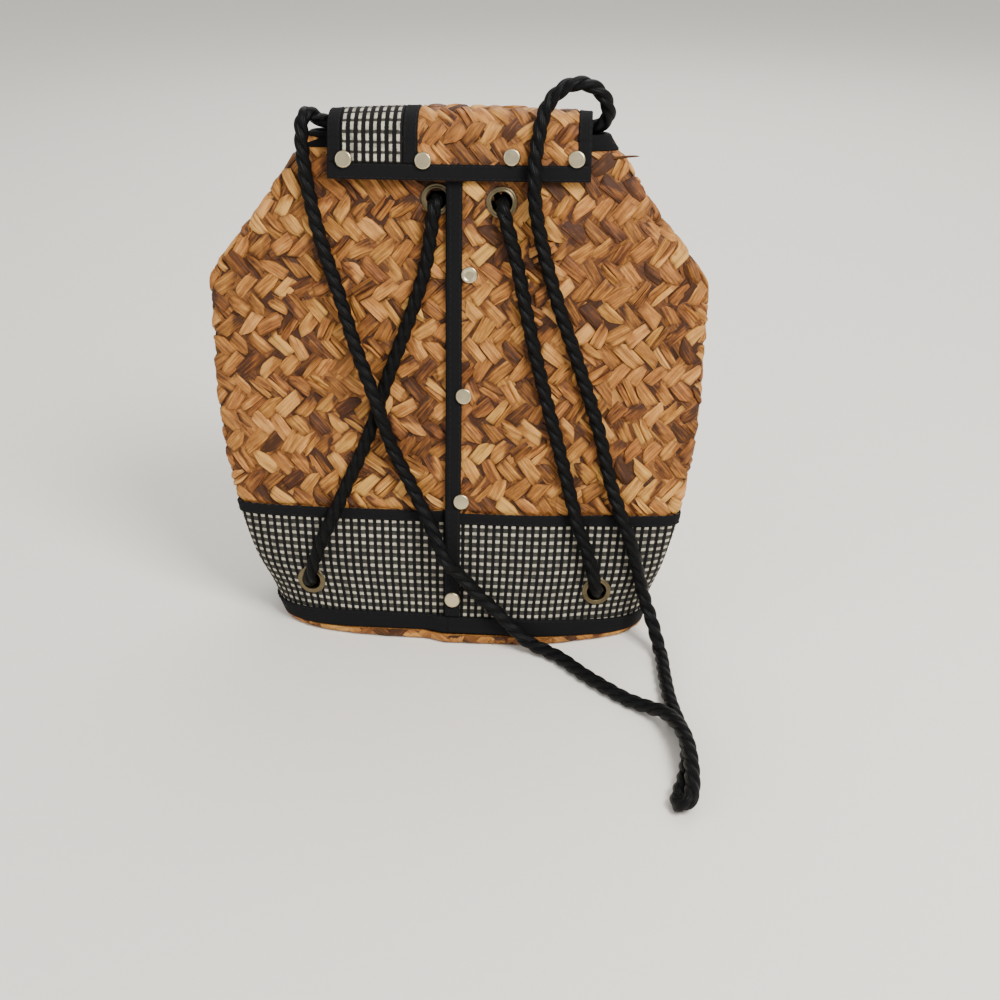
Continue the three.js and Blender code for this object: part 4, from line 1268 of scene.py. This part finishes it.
class STRAWBAG_OT_flap(bpy.types.Operator):
    """Builds the straw flap that lies over the mouth"""
    bl_idname = "strawbag.flap"
    bl_label = "Add Straw Flap"

    def execute(self, context):
        width, relief = sizes().strip_width * 0.94, sizes().strip_relief * 0.8
        x = np.linspace(-FLAP_HALF, FLAP_HALF, 41)
        along = np.linspace(0, FLAP.length, 61)
        xx, ll = np.meshgrid(x, along)
        course = FLAP.at(ll)
        verts, faces = thick_grid(flap_point(xx, course, STRAW * 0.85)[:, ::-1],
                                  flap_point(xx, course, 0)[:, ::-1])
        # The flap's underlayer is painted near black as the shade in the gaps between its strips
        piece = backing("straw_flap_underlayer", verts, faces)
        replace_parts(piece, "flap")
        strips = StripMesh(14, width, relief)
        left = FLAP_MIDDLE + PATCH_TAPE_WIDTH

        def surface(px, along_at, offset):
            px = np.clip(px, -FLAP_HALF + 0.001, FLAP_HALF - 0.001)
            along_at = np.clip(along_at, 0.001, FLAP.length - 0.001)
            return flap_point(-px, FLAP.at(along_at), STRAW + offset)

        def flatten(px, along_at, height):
            limit = 1.0
            for away in (FLAP_RIGHT + 0.0004 + px, -px - left, along_at - FLAP_TAPE_WIDTH,
                         FLAP_FRONT + 0.0004 - along_at):
                limit = np.minimum(limit, smooth(away / 0.0018))
            return pressed(height, limit)

        def keep(px, along_at):
            return (-FLAP_RIGHT - 0.003 < px < -left + 0.003
                    and FLAP_TAPE_WIDTH - 0.003 < along_at < FLAP_FRONT + 0.003)

        strips.fill(plait(FLAP_HALF, 0, FLAP.length, width, keep), surface, flatten)
        strips.piece("straw_flap")
        return {"FINISHED"}


# Check cloth

def check_relief(columns, rows, per_cell):
    """Heights of a cushioned check, one value a grid point."""
    u = (np.arange(columns) % per_cell) / per_cell
    v = (np.arange(rows) % per_cell) / per_cell
    return np.sin(math.pi * u)[None, :] ** 0.6 * np.sin(math.pi * v)[:, None] ** 0.6


def check_sheet(name, node, surface, width, height, pitch, inner, thickness,
                tall=1.0):
    """A sheet of check cloth whose surface is given over its own width and height. The
    cells are a pitch wide, and taller where tall is over 1."""
    per_cell = 4
    across, step = max(1, round(width / pitch)), pitch * tall
    columns = across * per_cell + 1
    rows = int(math.ceil(height / step * per_cell)) + 1
    u = np.linspace(0, width, columns)
    v = np.minimum(np.arange(rows) * step / per_cell, height)
    uu, vv = np.meshgrid(u, v)
    relief = check_relief(columns, rows, per_cell) * 0.00042
    outer = surface(uu, vv, inner + thickness - 0.0002 + relief)
    verts, faces = thick_grid(outer, surface(uu, vv, inner + 0 * uu))
    piece = add_object(name, verts, faces, check_material())
    cell = np.stack([uu / width * across, vv / step, 0 * uu + tall], axis=-1).reshape(-1, 3)
    add_layer(piece, "cell", np.concatenate([cell, cell]))
    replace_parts(piece, node)
    return piece


class STRAWBAG_OT_check(bpy.types.Operator):
    """Builds the check band round the bottom and the check patch on the flap"""
    bl_idname = "strawbag.check"
    bl_label = "Add Check Cloth"

    def execute(self, context):
        low = BASE_RIM_MIDDLE + CLEARANCE
        middle = float(BODY.length_at((low + BAND_TOP) / 2))
        width = 2 * middle + LAP_END - EDGE_X
        band = check_sheet("check_band_cloth", "check_band", lapped(low, width), width,
                           BAND_TOP - low, sizes().check_pitch, CLEARANCE, CLOTH)
        cut_holes(band, "lower")
        left = FLAP_LEFT + CLEARANCE
        start = FLAP_TAPE_WIDTH + CLEARANCE
        finish = FLAP_FRONT - CLEARANCE

        def patch(u, v, offset):
            return flap_point(left + u, FLAP.at(finish - v), STRAW + offset)

        check_sheet("check_patch_cloth", "flap_patch", patch, PATCH_WIDTH, finish - start,
                    sizes().patch_pitch, CLEARANCE, TAPE, 1.24)
        return {"FINISHED"}


# Tapes

def tape_profile(height):
    """Corners of a tape's cross-section with soft edges: distance across, share out."""
    edge = min(0.25, 0.35 * TAPE / height)
    shares = [(0, 0.15), (0, 0.6), (edge, 0.95), (0.2, 1.04), (0.5, 1.0), (0.8, 1.04),
              (1 - edge, 0.95), (1, 0.6), (1, 0.15)]
    return [(share * height, out) for share, out in shares]


def tape_grid(surface, length, profile, inner, steps, seed=0, wobble=0.0):
    """A tape over a surface(u, v, offset), whose far edge wanders by a wobble."""
    u = np.linspace(0, length, steps + 1)
    drift = np.array([noise.noise(Vector((value * 45, seed, 0))) for value in u]) * wobble
    outer, inside, places = [], [], []
    for across, out in profile:
        v = across + drift * (1 if across > profile[-1][0] / 2 else 0.35)
        outer.append(surface(u, v, inner + TAPE * out))
        inside.append(surface(u, v, inner + 0 * u))
        places.append(np.stack([u / MM, v / MM, 0 * u + seed], axis=-1))
    verts, faces = thick_grid(np.array(outer), np.array(inside))
    place = np.array(places).reshape(-1, 3)
    return verts, faces, np.concatenate([place, place])


def stitch_row(surface, length, v, offset, seed):
    """Stitches along a tape: small raised bars that dip at both ends."""
    rng = random.Random(seed)
    stitch = sizes().stitch_length
    pitch = stitch * 1.25
    verts, faces, places = [], [], []
    count = max(1, int((length - pitch) / pitch))
    for k in range(count):
        start = pitch * (k + 0.6)
        slant = rng.uniform(-0.0001, 0.0001)
        bar = []
        for share, high, half in ((0, -0.1, 0.12), (0.2, 0.28, 0.24), (0.5, 0.4, 0.28),
                                  (0.8, 0.28, 0.24), (1, -0.1, 0.12)):
            u = start + share * stitch
            for side, lift in ((-1, 0), (0, 1), (1, 0)):
                bar.append((u, v + slant * share + side * half * MM, offset + high * lift * MM))
        at = np.array(bar)
        base = len(verts)
        verts += list(surface(at[:, 0], at[:, 1], at[:, 2]))
        places += [(p[0] / MM, p[1] / MM, -5.0) for p in bar]
        faces += grid_faces(5, 3, base, flip=True)
    return verts, faces, places


class TapeMesh:
    """Collects one tape and its stitches."""

    def __init__(self, name, node):
        self.name, self.node = name, node
        self.verts, self.faces, self.places = [], [], []

    def add(self, verts, faces, places):
        base = len(self.verts)
        self.verts += [tuple(v) for v in verts]
        self.faces += [tuple(base + k for k in f) for f in faces]
        self.places += [tuple(p) for p in places]

    def finish(self):
        piece = add_object(self.name, self.verts, self.faces, tape_material())
        add_layer(piece, "place", self.places)
        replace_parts(piece, self.node)


class STRAWBAG_OT_tapes(bpy.types.Operator):
    """Binds the edges of the band, the base, the opening, the mouth and the flap"""
    bl_idname = "strawbag.tapes"
    bl_label = "Add Tapes"

    def execute(self, context):
        self.band_tape()
        self.base_tape()
        self.placket_tape()
        self.mouth_tape()
        self.flap_tapes()
        return {"FINISHED"}

    def band_tape(self):
        inner = 2 * CLEARANCE + CLOTH
        run = 2 * float(BODY.length_at(BAND_TOP)) + LAP_END - EDGE_X
        surface = lapped(BAND_TOP - BAND_TAPE_HEIGHT, run)
        tape = TapeMesh("tape_band", "band_binding")
        profile = tape_profile(BAND_TAPE_HEIGHT)
        tape.add(*tape_grid(surface, run, profile, inner, 260, 1, 0.00035))
        tape.add(*stitch_row(surface, run, BAND_TAPE_HEIGHT * 0.16, inner + TAPE, 2))
        tape.finish()

    def base_tape(self):
        inner = 4 * CLEARANCE + CLOTH
        middle = float(BODY.length_at(0.01))
        run = 2 * middle

        def surface(u, v, offset):
            share = u / middle
            low = base_rim(share) + CLEARANCE
            high = base_rim(share) + BASE_TAPE_HEIGHT
            z = low + (high - low) * v / BASE_TAPE_HEIGHT
            length = BODY.length_at(z)
            distance = EDGE_X + share * length
            return BODY.point(distance, z, offset + ring_lift(distance, length))

        tape = TapeMesh("tape_base", "base_binding")
        profile = tape_profile(BASE_TAPE_HEIGHT)
        tape.add(*tape_grid(surface, run, profile, inner, 300, 3))
        tape.add(*stitch_row(surface, run, BASE_TAPE_HEIGHT * 0.9, inner + TAPE, 4))
        tape.finish()

    def placket_tape(self):
        over_band = 3 * CLEARANCE + CLOTH + TAPE
        bottom = BASE_RIM_MIDDLE + BASE_TAPE_HEIGHT + 2 * CLEARANCE
        top = BODY_HEIGHT - MOUTH_TAPE_HEIGHT - CLEARANCE
        run = top - bottom

        def surface(u, v, offset):
            z = bottom + u
            under = CLEARANCE + (over_band - CLEARANCE) * smooth((BAND_TOP + 0.003 - z) / 0.003)
            # The tape turns down over the panel's free edge past its own left side
            flat = np.minimum(v, PLACKET_WIDTH)
            distance = EDGE_X + PLACKET_WIDTH - flat
            drop = np.maximum(v - PLACKET_WIDTH, 0)
            return BODY.point(distance - 0.0006 * (drop > 0) - offset * (drop > 0), z,
                              np.where(drop > 0, under + PANEL_LIFT - drop,
                                       under + PANEL_LIFT + offset))

        tape = TapeMesh("tape_placket", "placket_binding")
        profile = [(0.0132, 0.9), (0.0112, 1.0), (0.0094, 1.1), (0.0084, 1.1), (0.0082, 0.9),
                   (0.0078, 1.0), (0.0066, 1.03), (0.0042, 1.0), (0.0016, 1.04), (0.0004, 0.95),
                   (0.0, 0.6), (0.0, 0.1)]
        tape.add(*tape_grid(surface, run, profile, 0.0, 150))
        for v, seed in ((0.0013, 6), (0.0069, 7)):
            verts, faces, places = stitch_row(surface, run, v, TAPE, seed)
            tape.add(verts, [tuple(reversed(f)) for f in faces], places)
        tape.finish()

    def mouth_tape(self):
        out = CLEARANCE + TAPE
        low = BODY_HEIGHT - MOUTH_TAPE_HEIGHT
        top = BODY_HEIGHT + out
        columns = 220
        share = np.linspace(0, 2, columns, endpoint=False)
        length = float(BODY.length_at(BODY_HEIGHT))
        distance = EDGE_X + share * length
        lift = ring_lift(distance, length)
        corners = [(CLEARANCE, low, 1), (out * 0.7, low, 1), (out, low + 0.0006, 1),
                   (out, BODY_HEIGHT - 0.001, 1), (out * 0.85, BODY_HEIGHT + 0.0006, 1),
                   (0.0, top, 1), (-STRAW, top, 0), (-STRAW - out * 0.85, BODY_HEIGHT + 0.0006, 0),
                   (-STRAW - out, BODY_HEIGHT - 0.001, 0), (-STRAW - out, low, 0),
                   (-STRAW - CLEARANCE, low, 0), (-STRAW - CLEARANCE, BODY_HEIGHT, 0),
                   (CLEARANCE, BODY_HEIGHT, 1)]
        rings, place = [], []
        for offset, z, raised in corners:
            z_at = np.full(columns, min(z, BODY_HEIGHT))
            ring = BODY.point(distance, z_at, offset + lift * raised)
            ring[:, 2] = z
            rings.append(ring)
            place.append(np.stack([distance / MM, np.full(columns, z / MM), 0 * distance], -1))
        verts, faces = closed_sweep(np.stack(rings, axis=1))
        tape = TapeMesh("tape_mouth", "mouth_binding")
        tape.add(verts, faces, np.stack(place, axis=1).reshape(-1, 3))
        tape.finish()

    def flap_tapes(self):
        low = FLAP_TAPE_WIDTH + CLEARANCE
        run = FLAP_FRONT - CLEARANCE - low

        def upright(start):
            def surface(u, v, offset):
                return flap_point(start + v, FLAP.at(low + u), offset)
            return surface

        def crosswise(start):
            def surface(u, v, offset):
                along = np.clip(start + v, 0.0002, FLAP.length - 0.0002)
                return flap_point(FLAP_HALF - u, FLAP.at(along), offset)
            return surface

        uprights = (("left", -FLAP_HALF, FLAP_LEFT), ("right", FLAP_RIGHT, FLAP_HALF),
                    ("middle", FLAP_MIDDLE, FLAP_MIDDLE + PATCH_TAPE_WIDTH))
        for seed, (side, start, end) in enumerate(uprights, 20):
            self.flap_tape(side, upright(start), end - start, run, 70, seed, (0.14, 0.86))
        across = (("front", FLAP_FRONT, FLAP.length), ("back", 0.0, FLAP_TAPE_WIDTH))
        for seed, (side, start, end) in enumerate(across, 40):
            self.flap_tape(side, crosswise(start), end - start, 2 * FLAP_HALF, 90, seed,
                           (0.12, 0.88))

    def flap_tape(self, side, surface, width, run, steps, seed, stitches):
        """A tape with a row of stitches at each share of its width."""
        inner = STRAW + CLEARANCE
        tape = TapeMesh(f"tape_flap_{side}", f"flap_{side}_binding")
        tape.add(*tape_grid(surface, run, tape_profile(width), inner, steps, seed))
        for share in stitches:
            tape.add(*stitch_row(surface, run, width * share, inner + TAPE, seed + 10))
        tape.finish()


# Metal

CAP_RADIUS = 0.005


class STRAWBAG_OT_studs(bpy.types.Operator):
    """Sets a turned cap on each stud's place"""
    bl_idname = "strawbag.studs"
    bl_label = "Add Stud Caps"

    def execute(self, context):
        c = colours()
        metal = metal_material("Cap Metal", c.cap_metal, 0.2, 0.42, 0.72)
        for row in ("placket", "flap"):
            for k in range(1, 5):
                self.cap(f"{row}_stud_{k}", metal, ringed=(row == "placket" and k == 1))
        return {"FINISHED"}

    def cap(self, node, metal, ringed):
        foot, out, height = seat_of(node)
        # Shares of the radius and of the height
        shares = [(0, 0), (0.96, 0), (1, 0.18), (1, 0.42), (0.965, 0.66), (0.91, 0.84),
                  (0.85, 0.95)]
        if ringed:
            shares += [(0.76, 1), (0.66, 0.9), (0.6, 0.72), (0.4, 0.74), (0, 0.8)]
        else:
            shares += [(0.76, 0.96), (0.6, 0.97), (0.3, 1), (0, 1)]
        profile = [(CAP_RADIUS * across, height * up) for across, up in shares]
        verts, faces = turned(profile, 48, foot, out)
        piece = add_object(f"cap_{node}", verts, faces, metal)
        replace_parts(piece, node)


class STRAWBAG_OT_eyelets(bpy.types.Operator):
    """Sets a rolled eyelet with its washer in each of the four holes"""
    bl_idname = "strawbag.eyelets"
    bl_label = "Add Eyelets"

    def execute(self, context):
        c = colours()
        metal = metal_material("Eyelet Metal", c.eyelet_metal, 0.28, 0.5, 0.4)
        for row in ("upper", "lower"):
            for side in ("left", "right"):
                self.eyelet(f"grommet_{row}_{side}", metal)
        return {"FINISHED"}

    def eyelet(self, node, metal):
        foot, out, height = seat_of(node)
        bore, flange, skin = 0.006, 0.0093, 0.0009
        seat = height - skin
        profile = [(bore, 0.0), (flange * 0.98, 0.0), (flange, 0.0003), (flange, skin * 0.8),
                   (flange * 0.96, skin), (bore + skin, skin), (bore + skin, seat),
                   (flange * 0.985, seat), (flange, seat + 0.0002), (flange * 0.985, seat + 0.00045),
                   (flange * 0.93, seat + 0.0007), (flange * 0.86, seat + 0.00082),
                   (flange * 0.82, seat + 0.00062), (flange * 0.79, seat + 0.0008),
                   (flange * 0.73, seat + 0.00112), (bore + 0.0004, seat + 0.00112),
                   (bore + 0.0001, seat + 0.0009), (bore, seat + 0.0006), (bore, 0.0)]
        verts, faces = turned(profile, 64, foot, out)
        piece = add_object(f"eyelet_{node}", verts, faces, metal)
        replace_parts(piece, node)


# Loose ends

class STRAWBAG_OT_loose_ends(bpy.types.Operator):
    """Adds the loose straw ends that stick out of the plait"""
    bl_idname = "strawbag.loose_ends"
    bl_label = "Add Loose Ends"

    # Distance round from the front's middle, height, length and the way it points
    ENDS = [(0.0905, 0.2945, 0.016, (0.95, -0.1, 0.22)), (0.0600, 0.1900, 0.006, (0.4, -0.8, 0.5)),
            (-0.0700, 0.2300, 0.006, (-0.3, -0.8, 0.5)), (-0.1000, 0.1300, 0.005, (0.2, -0.8, 0.6)),
            (0.0200, 0.1250, 0.005, (0.3, -0.9, -0.3)), (0.1420, 0.2120, 0.004, (0.7, -0.6, -0.5))]

    def execute(self, context):
        verts, faces, strand, tone = [], [], [], []
        for index, (distance, z, length, way) in enumerate(self.ENDS):
            start = BODY.point(np.array([distance]), np.array([z]), np.array([0.0004]))[0]
            way = Vector(way).normalized()
            side = way.cross(Vector((0, -1, 0.3))).normalized()
            base = len(verts)
            for k in range(9):
                share = k / 8
                droop = Vector((0, 0, -0.1 * length * share ** 2))
                middle = Vector(start) + way * (length * share) + droop
                half = 0.0007 * (1 - share) ** 0.3 + 0.00016
                for corner in range(4):
                    angle = math.pi / 2 * corner
                    spot = middle + side * (half * math.cos(angle)) + way.cross(side) * (
                        half * 0.6 * math.sin(angle))
                    verts.append(spot[:])
                    strand.append((share * length / MM, corner, index))
                    tone.append((0.12 + 0.06 * (index % 3), 0.1, 0))
            faces += grid_faces(9, 4, base, ring=True)
        piece = add_object("straw_loose_ends", verts, faces, straw_material())
        add_layer(piece, "strand", strand)
        add_layer(piece, "tone", tone)
        return {"FINISHED"}


# Stage

class STRAWBAG_OT_stage(bpy.types.Operator):
    """Adds the camera, the pale floor and soft studio lights"""
    bl_idname = "strawbag.stage"
    bl_label = "Add Stage"

    def execute(self, context):
        camera = bpy.data.objects.new("camera", bpy.data.cameras.new("camera"))
        bpy.context.collection.objects.link(camera)
        camera.data.sensor_width = SENSOR
        camera.data.lens = FOCAL_PIXELS / PHOTO_PIXELS * SENSOR
        camera.location = CAMERA_EYE
        camera.rotation_euler = (CAMERA_TARGET - CAMERA_EYE).to_track_quat("-Z", "Y").to_euler()
        camera.data.clip_start = 0.01
        bpy.context.scene.camera = camera
        self.floor()
        self.lights()
        return {"FINISHED"}

    def floor(self):
        mesh = bpy.data.meshes.new("floor")
        corners = [(-6, -6, 0), (6, -6, 0), (6, 6, 0), (-6, 6, 0)]
        mesh.from_pydata(corners, [], [(0, 1, 2, 3)])
        floor = bpy.data.objects.new("floor", mesh)
        bpy.context.collection.objects.link(floor)
        material, tree, shader = new_material("Floor Paint")
        place = put(tree, "ShaderNodeTexCoord")
        grain = put(tree, "ShaderNodeTexNoise", {"Vector": place.outputs["Object"]}, Scale=180.0,
                    Detail=4.0)
        pale = tuple(colours().floor)
        colour = mix_colour(tree, grain.outputs[0], [v * 0.97 for v in pale], pale)
        tree.links.new(colour, shader.inputs["Base Color"])
        shader.inputs["Roughness"].default_value = 0.75
        mesh.materials.append(material)

    def lights(self):
        self.area("key", (0.75, -0.75, 1.25), (0.0, 0.0, 0.15), 0.6, 32.0, (1.0, 0.975, 0.94))
        self.area("fill", (-1.2, -0.8, 0.9), (0.0, 0.0, 0.15), 1.2, 5.0, (0.94, 0.97, 1.0))
        self.area("rim", (0.2, 1.5, 1.5), (0.0, 1.1, 0.0), 1.6, 26.0, (1.0, 0.985, 0.97))
        world = bpy.data.worlds.new("studio")
        bpy.context.scene.world = world
        world.use_nodes = True
        background = world.node_tree.nodes["Background"]
        background.inputs["Color"].default_value = (0.97, 0.96, 0.95, 1)
        background.inputs["Strength"].default_value = 0.80

    def area(self, name, place, target, size, power, colour):
        light = bpy.data.lights.new(name, "AREA")
        light.size = size
        light.energy = power
        light.color = colour
        lamp = bpy.data.objects.new(name, light)
        bpy.context.collection.objects.link(lamp)
        lamp.location = place
        lamp.rotation_euler = (Vector(target) - Vector(place)).to_track_quat("-Z", "Y").to_euler()


class STRAWBAG_PT_panel(bpy.types.Panel):
    """Lists the settings and the steps in the sidebar"""
    bl_idname = "STRAWBAG_PT_panel"
    bl_label = "Straw Backpack"
    bl_space_type = "VIEW_3D"
    bl_region_type = "UI"
    bl_category = "Straw Bag"

    def draw(self, context):
        layout = self.layout
        for group in (context.scene.straw_bag_sizes, context.scene.straw_bag_colours):
            box = layout.box()
            for name in group.bl_rna.properties.keys():
                if name not in ("rna_type", "name"):
                    box.prop(group, name)
        for operator in OPERATORS:
            layout.operator(operator.bl_idname)


OPERATORS = (
    STRAWBAG_OT_stage,
    STRAWBAG_OT_rope,
    STRAWBAG_OT_wall,
    STRAWBAG_OT_base,
    STRAWBAG_OT_flap,
    STRAWBAG_OT_check,
    STRAWBAG_OT_tapes,
    STRAWBAG_OT_studs,
    STRAWBAG_OT_eyelets,
    STRAWBAG_OT_loose_ends,
)
CLASSES = (StrawBagSizes, StrawBagColours, *OPERATORS, STRAWBAG_PT_panel)


def register():
    for each in CLASSES:
        bpy.utils.register_class(each)
    bpy.types.Scene.straw_bag_sizes = bpy.props.PointerProperty(type=StrawBagSizes)
    bpy.types.Scene.straw_bag_colours = bpy.props.PointerProperty(type=StrawBagColours)


def unregister():
    del bpy.types.Scene.straw_bag_colours
    del bpy.types.Scene.straw_bag_sizes
    for each in reversed(CLASSES):
        bpy.utils.unregister_class(each)


def main():
    register()
    for operator in OPERATORS:
        group, name = operator.bl_idname.split(".")
        getattr(getattr(bpy.ops, group), name)()


if __name__ == "__main__":
    main()
